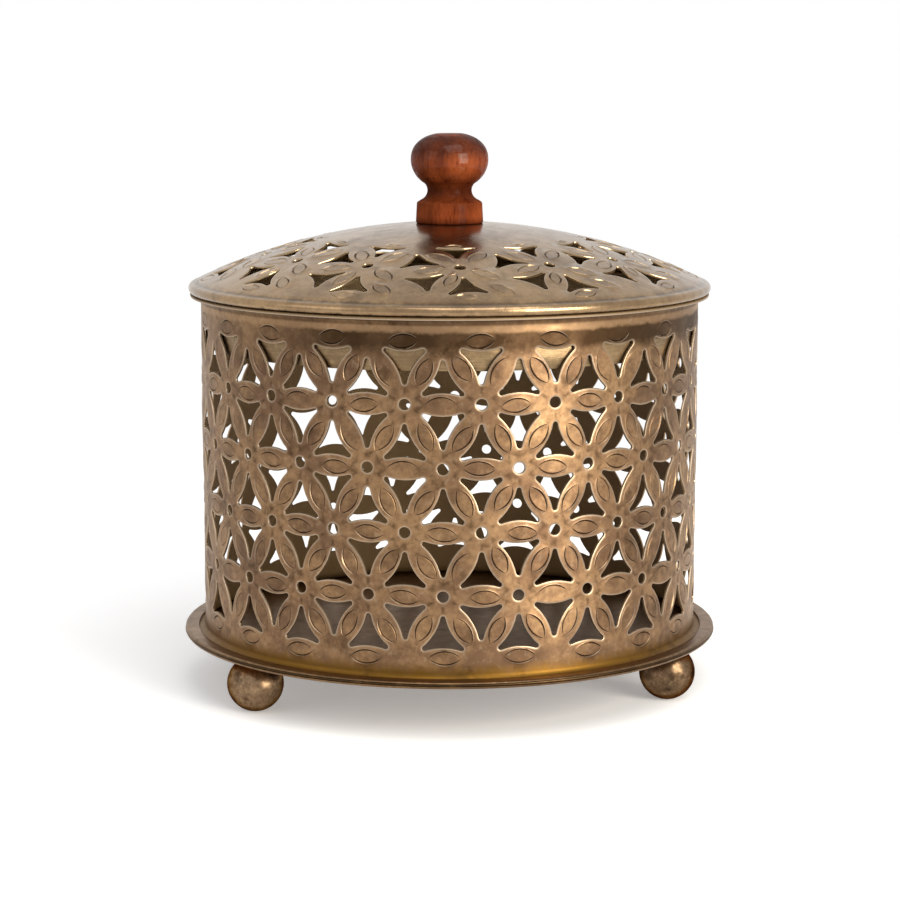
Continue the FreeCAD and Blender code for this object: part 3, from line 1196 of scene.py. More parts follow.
@dataclass
class PiercedWall:
    """Rolled wall with its flower lattice, laid out flat petal by petal and then bent round."""

    radius: float = 54.0
    bend_r: float = 1.2
    bend_steps: int = 4
    lip_flat_w: float = 0.6
    lip_edge_w: float = 0.5
    lip_droop: float = 0.15
    foot_lip_w: float = 2.4
    flowers: int = 22
    rows: int = 4
    row_pitch: float = 12.95
    turn_deg: float = 6.8
    hub_hole_r: float = 1.15
    hub_steps: int = 3
    neck_grime: float = 0.75
    tip_grime: float = 0.7
    plain_grime: float = 0.25
    full_kinds: int = 9
    edge_kinds: int = 5
    border_kinds: int = 6
    border_columns: int = 12
    border_shift: float = -0.1
    border_spread: float = 0.7
    leaf_stray: Span = (0.8, 0.36)
    both_flanks: float = 0.88
    lower_flank: float = 0.94
    leaf_clearance: float = 0.5
    waver_mm: float = 0.32
    waver_scale: float = 95.0
    dent_mm: float = 0.22
    dent_scale: float = 38.0
    calm_span: Span = (0.84, 0.97)
    weld_mm: float = 0.004
    crease_deg: float = 33.0
    seed: int = 7
    gap: PetalGap = field(default_factory=PetalGap)
    section: CutSection = field(default_factory=CutSection)
    punch: Punch = Punch((6.3, 7.0), 2.85, 0.42, 0.2, 0.05, 9.0)

    def __post_init__(self) -> None:
        """Works out the lattice and where the wall stands."""
        low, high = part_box("body_wall")
        self.height = (high[2] - low[2]) / MM
        self.mid_z = (high[2] + low[2]) / 2 / MM
        self.pitch = 2 * math.pi * self.radius / self.flowers
        self.flat_row = self.pitch * math.sqrt(3) / 2
        self.squash = self.row_pitch / self.flat_row
        self.straight_h = self.height / 2 - self.section.sheet - self.bend_r
        self.random = Random(self.seed)

    def build(self, finish: bpy.types.Material) -> bpy.types.Object:
        """Makes the wall and puts it in place of its node.

        Args:
            finish: The wall's brass.

        Returns:
            The piece.
        """
        rim_lip_w = self.lip_flat_w + self.lip_edge_w
        kinds = {
            PatchKind.FULL: [self._petal(number, True) for number in range(self.full_kinds)],
            PatchKind.EDGE: [self._petal(number, False) for number in range(self.edge_kinds)],
            PatchKind.RIM: [self._border(number, rim_lip_w) for number in range(self.border_kinds)],
            PatchKind.FOOT: [self._border(number, self.foot_lip_w) for number in range(self.border_kinds)],
        }
        groups = {kind: self._collection(kind, meshes) for kind, meshes in kinds.items()}
        values = {
            "Flowers": self.flowers,
            "Radius": self.radius * MM,
            "Straight": self.straight_h * MM,
            "Bend": self.bend_r * MM,
            "Mid Height": self.mid_z * MM,
            "Waver": self.waver_mm * MM,
            "Dent": self.dent_mm * MM,
            "Seed": self.seed,
            "Material": finish,
        }
        mesh = self._tree(groups).run("pierced_wall", values)
        for group in groups.values():
            for item in list(group.objects):
                bpy.data.objects.remove(item)
            bpy.data.collections.remove(group)
        return add_piece("pierced_wall", mesh, finish, Body.BASE, Slot.BODY, ["body_wall"], self.crease_deg)

    def _leaf(self, shift_y: float = 0.0, spread: float = 1.0) -> Leaf:
        """Sets a leaf by hand: a little off its place and turn, and sometimes marked on one flank only.

        Args:
            shift_y: Its place across the petal.
            spread: Share of the usual stray.

        Returns:
            The leaf.
        """
        wild = self.random.uniform
        x, y = (wild(-stray, stray) * spread for stray in self.leaf_stray)
        choice = self.random.random()
        sides = StampSides.BOTH
        if choice > self.both_flanks:
            sides = StampSides.UPPER if choice > self.lower_flank else StampSides.LOWER
        return self.punch.leaf(wild, Vector((x, shift_y + y)), 0.0, sides)

    def _petal(self, number: int, both_hubs: bool) -> bpy.types.Mesh:
        """Makes one petal along X between two flower centres.

        Args:
            number: Number of the patch.
            both_hubs: False if its right end has no hub hole.

        Returns:
            The flat patch.
        """
        patch = SheetPatch(self.section)
        left, right = Vector((-self.pitch / 2, 0)), Vector((self.pitch / 2, 0))
        rim_r = self.hub_hole_r + self.section.edge_r
        outline: list[int] = []
        for start, end, side, pierced in ((left, right, -1, both_hubs), (right, left, 1, True)):
            corners = (start, end, Vector((0, side * self.flat_row)))
            outline += patch.cut(self.gap.sides(corners, self.section)[0])
            way = Vector((side * math.sqrt(0.75), side * 0.5))
            outline += self._seam(patch, end, way, pierced)
            if pierced:
                turn = 120.0 - side * 90.0
                outline += patch.cut(round_cut(end, rim_r, turn, turn - 60.0, self.hub_steps))
            else:
                outline.append(patch.through(end))
            outline += reversed(self._seam(patch, end, Vector((way.x, -way.y)), pierced))
        patch.bound(outline)
        patch.stamp(self._leaf())
        return patch.mesh(f"petal_{both_hubs}_{number}")

    def _seam(self, patch: SheetPatch, hub: Vector, way: Vector, pierced: bool) -> list[int]:
        """Sets the line from an opening's tip to a hub, where two petals meet.

        Args:
            patch: The petal.
            hub: The flower's centre.
            way: Way from there to the tip.
            pierced: True if the hub has a hole.

        Returns:
            Numbers of the points, from the tip inwards.
        """
        tip = self.gap.hub_r - self.section.edge_r
        rim = self.hub_hole_r + self.section.edge_r if pierced else 0.0
        grime = self.neck_grime if pierced else self.neck_grime * self.plain_grime
        seam = [(tip - self.section.margin, grime * self.tip_grime), ((tip + rim) / 2, grime)]
        if pierced:
            seam.append((rim + self.section.margin, 0.0))
        return [patch.through(hub + way * reach, dark) for reach, dark in seam]

    def _border(self, number: int, lip_w: float) -> bpy.types.Mesh:
        """Makes a half petal along X with the plain band, the bend and a lip above it.

        Args:
            number: Number of the patch.
            lip_w: Width of the lip.

        Returns:
            The flat patch.
        """
        patch = SheetPatch(self.section)
        half = self.pitch / 2
        left, right = Vector((-half, 0)), Vector((half, 0))
        band_h = self.straight_h - (self.rows + 1) / 2 * self.row_pitch
        bend_l = self.bend_r * math.pi / 2
        levels = [band_h * 0.5, band_h]
        levels += [band_h + bend_l * step / self.bend_steps for step in range(1, self.bend_steps + 1)]
        levels += [band_h + bend_l + self.lip_flat_w]
        levels = [level / self.squash for level in levels]
        top = (band_h + bend_l + lip_w - self.section.edge_r) / self.squash
        columns = [-half + self.pitch * step / self.border_columns for step in range(self.border_columns + 1)]
        way = Vector((math.sqrt(0.75), -0.5))
        corners = (left, right, Vector((0, -self.flat_row)))
        outline = patch.cut(self.gap.sides(corners, self.section)[0])
        outline += self._seam(patch, right, Vector((-way.x, way.y)), False)
        outline.append(patch.through(right))
        outline += [patch.through(Vector((half, level))) for level in levels]
        outline += patch.cut([CutPoint(Vector((x, top)), Vector((0, 1))) for x in reversed(columns)])
        outline += [patch.through(Vector((-half, level))) for level in reversed(levels)]
        outline.append(patch.through(left))
        outline += reversed(self._seam(patch, left, way, False))
        patch.bound(outline)
        leaf = self._leaf(self.border_shift, self.border_spread)
        patch.stamp(leaf)
        for place in (Vector((x, level)) for x in columns[1:-1] for level in levels):
            if leaf.clear_of(place, self.leaf_clearance):
                patch.through(place)
        return patch.mesh(f"border_{lip_w}_{number}")

    @staticmethod
    def _collection(kind: PatchKind, meshes: Iterable[bpy.types.Mesh]) -> bpy.types.Collection:
        """Keeps the patches of one kind together for the lattice.

        Args:
            kind: The kind.
            meshes: Its patches.

        Returns:
            A collection outside the scene.
        """
        group = bpy.data.collections.new("patches_" + kind.value)
        for mesh in meshes:
            group.objects.link(bpy.data.objects.new(mesh.name, mesh))
        return group

    @staticmethod
    def _row_tree() -> bpy.types.NodeTree:
        """Builds a tree that sets one row of patches, picked at random.

        Returns:
            The tree, for use as a group.
        """
        inputs = {"Patches": "Collection", "Count": "Int", "Start": "Vector", "Pitch": "Float"}
        inputs.update({"Turn": "Float", "Kinds": "Int", "Seed": "Int"})
        tree = GeometryTree("patch_row", inputs)
        given = tree.given
        spots = {
            "Count": given["Count"],
            "Start Location": given["Start"],
            "Offset": tree.joined(X=given["Pitch"]),
        }
        loose = {"Collection": given["Patches"], "Separate Children": True, "Reset Children": True}
        limits = {"Min": 0, "Max": given["Kinds"] - 1.0, "Seed": given["Seed"]}
        row = {
            "Points": tree.node("GeometryNodeMeshLine", {"mode": "OFFSET"}, spots)[0],
            "Instance": tree.node("GeometryNodeCollectionInfo", None, loose)[0],
            "Pick Instance": True,
            "Instance Index": tree.node("FunctionNodeRandomValue", {"data_type": "INT"}, limits)[0],
            "Rotation": tree.joined(Z=given["Turn"]),
        }
        tree.finish(tree.node("GeometryNodeInstanceOnPoints", None, row)[0])
        return tree.tree

    def _rows(self) -> list[tuple[PatchKind, float, float, float]]:
        """Lays out the rows of patches, from the rim down.

        Returns:
            Kind, shift in pitches, height and turn in degrees of every row.
        """
        rows = []
        last = self.rows + 1
        for row in range(self.rows + 2):
            height = (last / 2 - row) * self.flat_row
            shift = 0.5 if row % 2 == 0 else 0.0
            borders = {0: (PatchKind.RIM, 0.0), last: (PatchKind.FOOT, 180.0)}
            kind, turn = borders.get(row, (PatchKind.FULL, 0.0))
            rows.append((kind, shift + 0.5, height, turn))
            if row == last:
                continue
            kind = PatchKind.EDGE if row in (0, last - 1) else PatchKind.FULL
            down = 180.0 if row == last - 1 else 0.0
            for lean, step in ((60.0, -0.25), (120.0, 0.25)):
                rows.append((kind, shift + step, height - self.flat_row / 2, lean + down))
        return rows

    def _tree(self, groups: dict[PatchKind, bpy.types.Collection]) -> GeometryTree:
        """Builds the lattice: rows of patches, bent to the wall's section and rolled up.

        Args:
            groups: The patches of each kind.

        Returns:
            The tree.
        """
        inputs = {"Flowers": "Int", "Radius": "Float", "Straight": "Float", "Bend": "Float"}
        inputs.update({"Mid Height": "Float", "Waver": "Float", "Dent": "Float"})
        tree = GeometryTree("flower_lattice", inputs | {"Seed": "Int", "Material": "Material"})
        given = tree.given
        row_tree = self._row_tree()
        pitch = given["Radius"] * (2 * math.pi) / given["Flowers"]
        rows = []
        for number, (kind, shift, height, turn) in enumerate(self._rows()):
            values = {
                "Patches": groups[kind],
                "Count": given["Flowers"],
                "Start": tree.joined(X=pitch * shift, Y=height * MM),
                "Pitch": pitch,
                "Turn": math.radians(turn),
                "Kinds": len(groups[kind].objects),
                "Seed": given["Seed"] + number,
            }
            rows.append(tree.node("GeometryNodeGroup", {"node_tree": row_tree}, values)[0])
        made = tree.node("GeometryNodeJoinGeometry", None, {0: rows})[0]
        made = tree.node("GeometryNodeRealizeInstances", None, {0: made})[0]
        for way, shift in (("Position", self._rolled(tree)), ("Offset", self._unevenness(tree))):
            made = tree.node("GeometryNodeSetPosition", None, {"Geometry": made, way: shift})[0]
        weld = {"Geometry": made, "Distance": self.weld_mm * MM}
        made = tree.node("GeometryNodeMergeByDistance", None, weld)[0]
        tree.finish(tree.node("GeometryNodeSetMaterial", None, {0: made, "Material": given["Material"]})[0])
        return tree

    def _rolled(self, tree: GeometryTree) -> Sock:
        """Takes a flat point round the wall, and over the bends into the lips.

        Args:
            tree: The lattice's tree.

        Returns:
            The point's new place.
        """
        given, math_node = tree.given, tree.math
        flat = tree.parts(tree.node("GeometryNodeInputPosition")[0])
        turn = flat["X"] / given["Radius"] + math.radians(self.turn_deg)
        along = flat["Y"] * self.squash
        side = math_node("SIGN", along)
        away = math_node("ABSOLUTE", along)
        over = math_node("MAXIMUM", away - given["Straight"], 0.0)
        lean = math_node("MINIMUM", over / given["Bend"], math.pi / 2)
        lip = math_node("MAXIMUM", over - given["Bend"] * (math.pi / 2), 0.0)
        straight = math_node("MINIMUM", away, given["Straight"])
        sine, cosine = math_node("SINE", lean), math_node("COSINE", lean)
        slope = self.lip_droop / self.lip_edge_w
        edge = math_node("MAXIMUM", lip - self.lip_flat_w * MM, 0.0)
        droop = edge * slope * math_node("MAXIMUM", side, 0.0)
        radius = given["Radius"] + given["Bend"] * (1 - cosine) + lip + flat["Z"] * cosine
        rise = straight + given["Bend"] * sine - flat["Z"] * sine - droop
        x, y = radius * math_node("SINE", turn), -radius * math_node("COSINE", turn)
        return tree.joined(X=x, Y=y, Z=given["Mid Height"] + side * rise)

    def _unevenness(self, tree: GeometryTree) -> Sock:
        """Adds small shifts of hand-cut work, fading out towards the lips.

        Args:
            tree: The lattice's tree.

        Returns:
            The point's offset.
        """
        given, vector = tree.given, tree.vector
        place = tree.node("GeometryNodeInputPosition")[0]
        away = tree.math("ABSOLUTE", tree.parts(place)["Z"] - given["Mid Height"]) / given["Straight"]
        calm = 1 - tree.step(away, *self.calm_span)
        wild = vector("SUBTRACT", tree.noise(place, self.waver_scale, 1.0, 0.5, "Color"), (0.5, 0.5, 0.5))
        out = vector("NORMALIZE", vector("MULTIPLY", place, (1.0, 1.0, 0.0)))
        push = (tree.noise(place, self.dent_scale, 1.0, 0.5) - 0.5) * given["Dent"] * calm
        return vector("ADD", vector("SCALE", wild, given["Waver"] * calm), vector("SCALE", out, push))


@dataclass
class PiercedDome:
    """Domed lid with its ring of flowers, laid out in plan and then raised and rolled under at the edge.

    An opening is given by its place beside and beyond its flower's hub, its lean and the side of its tip;
    a loose leaf by its place and its lean.
    """

    crown_r: float = 9.0
    rise: float = 15.0
    edge_mid: Point = (55.5, 87.116)
    edge_r: float = 1.15
    hem_in_r: float = 53.5
    screw_hole_r: float = 2.05
    screw_hole_steps: int = 32
    hub_hole_r: float = 1.15
    hub_steps: int = 18
    ring_r: float = 40.0
    flowers: int = 13
    turn_deg: float = 3.0
    gap_pitch: float = 15.1
    gap_h: float = 12.3
    gaps: tuple[tuple[float, float, float, int], ...] = (
        (-0.3, -8.6, 0.0, 1),
        (-8.2, -2.6, -15.0, -1),
        (-7.2, 6.3, -13.0, 1),
        (0.9, 8.9, -5.0, -1),
    )
    petals_deg: tuple[float, ...] = (126.0, 191.0, 249.0, 327.0, 55.0)
    petal_reach: float = 6.3
    petal_stray: float = 0.3
    loose_leaves: tuple[Triple, ...] = ((-0.3, -11.6, 0.0), (0.9, 12.6, -5.0), (8.0, 9.0, 35.0))
    loose_stray: Span = (0.5, 0.2)
    leaf_clearance: float = 0.3
    leaf_shrink: Span = (0.95, 0.93)
    bead_groove: float = 0.22
    bead_groove_in: float = 0.85
    bead_groove_half: float = 0.9
    bead_grime: float = 0.8
    around: int = 208
    edge_rings: int = 5
    edge_ring_step: float = 0.55
    roll_rings: int = 9
    grid: float = 2.6
    grid_ends: Span = (1.6, 3.2)
    grid_rows: float = 0.87
    grid_least: int = 12
    grid_clearance: Span = (0.55, 0.8)
    crease_deg: float = 33.0
    seed: int = 11
    gap: PetalGap = field(default_factory=PetalGap)
    section: CutSection = field(default_factory=CutSection)
    petal_punch: Punch = Punch((6.4, 7.0), 2.8, 0.5, 0.3, 0.07, 7.0)
    loose_punch: Punch = Punch((5.8, 6.4), 2.5, 0.45, 0.27, 0.06, 6.0)

    def __post_init__(self) -> None:
        """Works out where the dome ends and how long the rolled edge and the hem are."""
        self.random = Random(self.seed)
        drop = self.rise - self.edge_r
        edge_share = self.edge_mid[0] ** 2 + drop ** 2 - self.edge_r ** 2
        self.dome_r = edge_share / (2 * (drop - self.edge_r))
        self.dome_mid_z = self.edge_mid[1] + drop - self.dome_r
        self.crown_z = self.dome_mid_z + math.sqrt(self.dome_r ** 2 - self.crown_r ** 2)
        self.roll_start = math.atan2(self.edge_mid[1] - self.dome_mid_z, self.edge_mid[0])
        self.dome_end = self.dome_r * math.cos(self.roll_start)
        self.roll_l = self.edge_r * (self.roll_start + math.pi / 2)
        self.hem_l = self.edge_mid[0] - self.hem_in_r

    def build(self, finish: bpy.types.Material) -> bpy.types.Object:
        """Makes the dome and puts it in place of its node.

        Args:
            finish: The lid's brass.

        Returns:
            The piece.
        """
        patch = SheetPatch(self.section)
        hem_end = self.dome_end + self.roll_l + self.hem_l - self.section.edge_r
        patch.cut(self._circle(hem_end, 1.0, self.around), CutKind.OUTLINE)
        screw_r = self.screw_hole_r + self.section.edge_r
        patch.cut(self._circle(screw_r, -1.0, self.screw_hole_steps), CutKind.HOLE)
        leaves: list[Leaf] = []
        for index in range(self.flowers):
            turn = self.turn_deg + index * 360.0 / self.flowers
            self._flower(patch, turn)
            leaves += self._leaves(turn)
        leaves = [self._fitted(patch, leaf) for leaf in leaves]
        for leaf in leaves:
            patch.stamp(leaf)
        self._rings(patch)
        self._grid(patch, leaves)
        mesh = patch.mesh("pierced_dome", self._raised)
        return add_piece("pierced_dome", mesh, finish, Body.LID, Slot.LID, ["lid_dome"], self.crease_deg)

    @staticmethod
    def _circle(radius: float, way: float, steps: int) -> list[CutPoint]:
        """Full circle of cut points about the axis, facing outwards or inwards."""
        points = round_cut(Vector((0, 0)), radius, 0.0, 360.0, steps)[:-1]
        return [CutPoint(point.place, -point.into * way) for point in points]

    @staticmethod
    def _at(across: float, radius: float, turn_deg: float) -> Vector:
        """Plan place of a point to the right of a line from the axis, at a radius along it."""
        return Matrix.Rotation(math.radians(turn_deg), 2) @ Vector((across, -radius))

    def _flower(self, patch: SheetPatch, turn_deg: float) -> None:
        """Cuts the hub hole and the four openings of one flower.

        Args:
            patch: The sheet that takes them.
            turn_deg: The flower's turn about the axis.
        """
        hub = self._at(0.0, self.ring_r, turn_deg)
        rim_r = self.hub_hole_r + self.section.edge_r
        patch.cut(round_cut(hub, rim_r, 0.0, 360.0, self.hub_steps)[:-1], CutKind.HOLE)
        for across, out, lean_deg, tip_side in self.gaps:
            radius = self.ring_r + out
            start = turn_deg + math.degrees(across / radius)
            low = -tip_side * self.gap_h / 3
            lean = Matrix.Rotation(math.radians(lean_deg), 2)
            corners = []
            for x, y in ((-self.gap_pitch / 2, low), (self.gap_pitch / 2, low), (0.0, -2 * low)):
                local = lean @ Vector((x, y))
                corners.append(self._at(local.x, radius + local.y, start))
            sides = self.gap.sides(corners, self.section)
            patch.cut([cut for run in sides for cut in run[:-1]], CutKind.HOLE)

    def _leaves(self, turn_deg: float) -> list[Leaf]:
        """Sets the leaves on one flower's petals and beside its openings.

        Args:
            turn_deg: The flower's turn about the axis.

        Returns:
            The leaves, not yet stamped.
        """
        wild = self.random.uniform
        leaves = []
        for way_deg in self.petals_deg:
            way = math.radians(way_deg)
            across, out = self.petal_reach * math.cos(way), self.petal_reach * math.sin(way)
            place = self._at(across, self.ring_r - out, turn_deg)
            place += Vector([wild(-self.petal_stray, self.petal_stray) for _ in range(2)])
            leaves.append(self.petal_punch.leaf(wild, place, turn_deg + way_deg))
        for across, out, lean_deg in self.loose_leaves:
            aside, beyond = (wild(-stray, stray) for stray in self.loose_stray)
            place = self._at(across + aside, self.ring_r + out + beyond, turn_deg)
            leaves.append(self.loose_punch.leaf(wild, place, turn_deg - lean_deg))
        return leaves

    def _fitted(self, patch: SheetPatch, leaf: Leaf) -> Leaf:
        """Makes a leaf smaller until it keeps clear of every opening.

        Args:
            patch: The sheet with its openings.
            leaf: The leaf.

        Returns:
            The leaf that fits.
        """
        shorter, narrower = self.leaf_shrink
        while not all(patch.is_clear(place, self.leaf_clearance) for place in leaf.outline()):
            leaf = replace(leaf, length=leaf.length * shorter, width=leaf.width * narrower)
        return leaf

    def _rings(self, patch: SheetPatch) -> None:
        """Sets rows of points round the rolled edge, the hem and the soft groove.

        Args:
            patch: The sheet that takes them.
        """
        radii = [self.dome_end - step * self.edge_ring_step for step in range(self.edge_rings)]
        rolled = range(1, self.roll_rings + 1)
        radii += [self.dome_end + self.roll_l * step / self.roll_rings for step in rolled]
        radii += [self.dome_end + self.roll_l + self.hem_l * 0.5]
        for radius in radii:
            dark = self._bead_groove(radius) * self.bead_grime
            for index in range(self.around):
                patch.through(on_circle(radius, 2 * math.pi * index / self.around), dark)

    def _bead_groove(self, flat: float) -> float:
        """Share of the soft groove's depth at a radius of the flat plan."""
        near = max(0.0, 1 - abs(self.dome_end - self.bead_groove_in - flat) / self.bead_groove_half)
        return near * near * (3 - 2 * near)

    def _grid(self, patch: SheetPatch, leaves: Sequence[Leaf]) -> None:
        """Sets loose points that carry the dome's curve.

        Args:
            patch: The sheet that takes them.
            leaves: The leaves that they keep clear of.
        """
        first, last = self.grid_ends
        by_leaf, by_gap = self.grid_clearance
        radius = self.screw_hole_r + first
        while radius < self.dome_end - last:
            count = max(self.grid_least, round(2 * math.pi * radius / self.grid))
            for index in range(count):
                place = on_circle(radius, 2 * math.pi * (index + radius % 1) / count)
                if all(leaf.clear_of(place, by_leaf) for leaf in leaves) and patch.is_clear(place, by_gap):
                    patch.through(place)
            radius += self.grid * self.grid_rows

    def _raised(self, x: float, y: float, height: float) -> Triple:
        """Takes a flat point onto the dome, round the rolled edge, or into the hem.

        Args:
            x: Its place in plan.
            y: Its place in plan.
            height: Its height over the front face.

        Returns:
            Its new place.
        """
        flat = math.hypot(x, y)
        roll = (flat - self.dome_end) / self.edge_r
        if roll <= 0:
            lean = math.asin(flat / self.dome_r)
            radius = (self.dome_r + height) * math.sin(lean)
            rise = self.dome_mid_z + (self.dome_r + height) * math.cos(lean)
            rise = min(rise, self.crown_z + height)
            rise -= self.bead_groove * self._bead_groove(flat)
        elif flat <= self.dome_end + self.roll_l:
            turn = self.roll_start - roll
            radius = self.edge_mid[0] + (self.edge_r + height) * math.cos(turn)
            rise = self.edge_mid[1] + (self.edge_r + height) * math.sin(turn)
        else:
            radius = self.edge_mid[0] - (flat - self.dome_end - self.roll_l)
            rise = self.edge_mid[1] - self.edge_r - height
        return (x / flat * radius, y / flat * radius, rise)


@dataclass
class Base:
    """Round floor with its folded edge, standing on three ball feet."""

    fold_r: float = 0.75
    fold_in_r: float = 55.4
    fold_edge_r: float = 0.2
    fold_depth: float = 0.6
    sheet: float = 0.5
    around: int = 256
    groove: float = 0.3
    groove_deg: Span = (-6.0, 27.0)
    groove_flank_deg: float = 8.0
    foot_r: float = 6.0
    foot_wear_r: float = 1.5
    foot_top_deg: float = 58.0
    foot_around: int = 96
    solder_r: float = 3.1
    solder_toe: float = 0.55
    solder_bow: float = 0.252
    solder_steps: int = 5
    feet: tuple[str, ...] = ("foot_front_left", "foot_front_right", "foot_rear")

    def __post_init__(self) -> None:
        """Works out where the plate's folded edge runs."""
        low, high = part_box("base_plate")
        self.under = low.z / MM
        self.fold_mid = (high.x / MM - self.fold_r, self.under + self.fold_r)

    def build(self, plate_finish: bpy.types.Material, foot_finish: bpy.types.Material) -> None:
        """Makes the plate and the feet and puts them in place of their nodes.

        Args:
            plate_finish: The plate's brass.
            foot_finish: The feet's brass.
        """
        plate = Turning(self._plate_outline(), self.around).mesh("base_disc", self._groove_dirt, "groove")
        add_piece("base_disc", plate, plate_finish, Body.BASE, Slot.BODY, ["base_plate"])
        for node in self.feet:
            low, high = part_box(node)
            centre = ((low.x + high.x) / 2 / MM, (low.y + high.y) / 2 / MM)
            outline = self._foot_outline(high.z / MM)
            ball = Turning(outline, self.foot_around, centre=centre).mesh("ball_" + node)
            add_piece("ball_" + node, ball, foot_finish, Body.BASE, Slot.FEET, [node])

    def _plate_outline(self) -> list[Point]:
        """Draws the plate's section.

        Returns:
            Points from under its middle out, round the fold and back on top.
        """
        under, fold_mid = self.under, self.fold_mid
        top = under + 2 * self.fold_r
        start, end = self.groove_deg
        fold = arc_points(fold_mid, self.fold_r, -90, start - self.groove_flank_deg, steps=8)
        fold += arc_points(fold_mid, self.fold_r - self.groove, start, end, steps=3)
        fold += arc_points(fold_mid, self.fold_r, end + self.groove_flank_deg, 90, steps=6)
        edge_mid = (self.fold_in_r + self.fold_edge_r, top - self.fold_edge_r)
        edge = arc_points(edge_mid, self.fold_edge_r, 90, 180, steps=3)
        points = [(0.0, under)] + run_points((0.0, under), fold[0], steps=6) + fold
        points += run_points(fold[-1], edge[0], steps=3) + edge
        points += [(self.fold_in_r, top - self.sheet), (fold_mid[0] - self.fold_depth, top - self.sheet)]
        points += arc_points(fold_mid, self.fold_r - self.sheet, 90, -90, steps=6)
        floor = (0.0, under + self.sheet)
        return points + run_points(points[-1], floor, steps=6) + [floor]

    def _groove_dirt(self, radius: float, height: float) -> float:
        """1 at the bottom of the groove round the folded edge, 0 elsewhere."""
        away = math.hypot(radius - self.fold_mid[0], height - self.fold_mid[1])
        sunk = abs(away - self.fold_r + self.groove) < self.groove / 2
        return float(sunk and radius > self.fold_mid[0])

    def _foot_outline(self, seat_z: float) -> list[Point]:
        """Draws a ball foot with a worn flat below and a solder fillet on top.

        Args:
            seat_z: Height of the plate's underside.

        Returns:
            Points from the floor up.
        """
        mid_z = math.sqrt(self.foot_r ** 2 - self.foot_wear_r ** 2)
        wear_deg = math.degrees(math.acos(self.foot_wear_r / self.foot_r))
        points = [(0.0, 0.0)]
        points += arc_points((0.0, mid_z), self.foot_r, -wear_deg, self.foot_top_deg, steps=40)
        end = (self.solder_r + self.solder_toe, seat_z)
        for step, (radius, height) in enumerate(run_points(points[-1], end, self.solder_steps), 1):
            bow = self.solder_bow * math.sin(math.pi * step / self.solder_steps)
            points.append((radius - bow, height))
        return points + [end, (0.0, seat_z)]


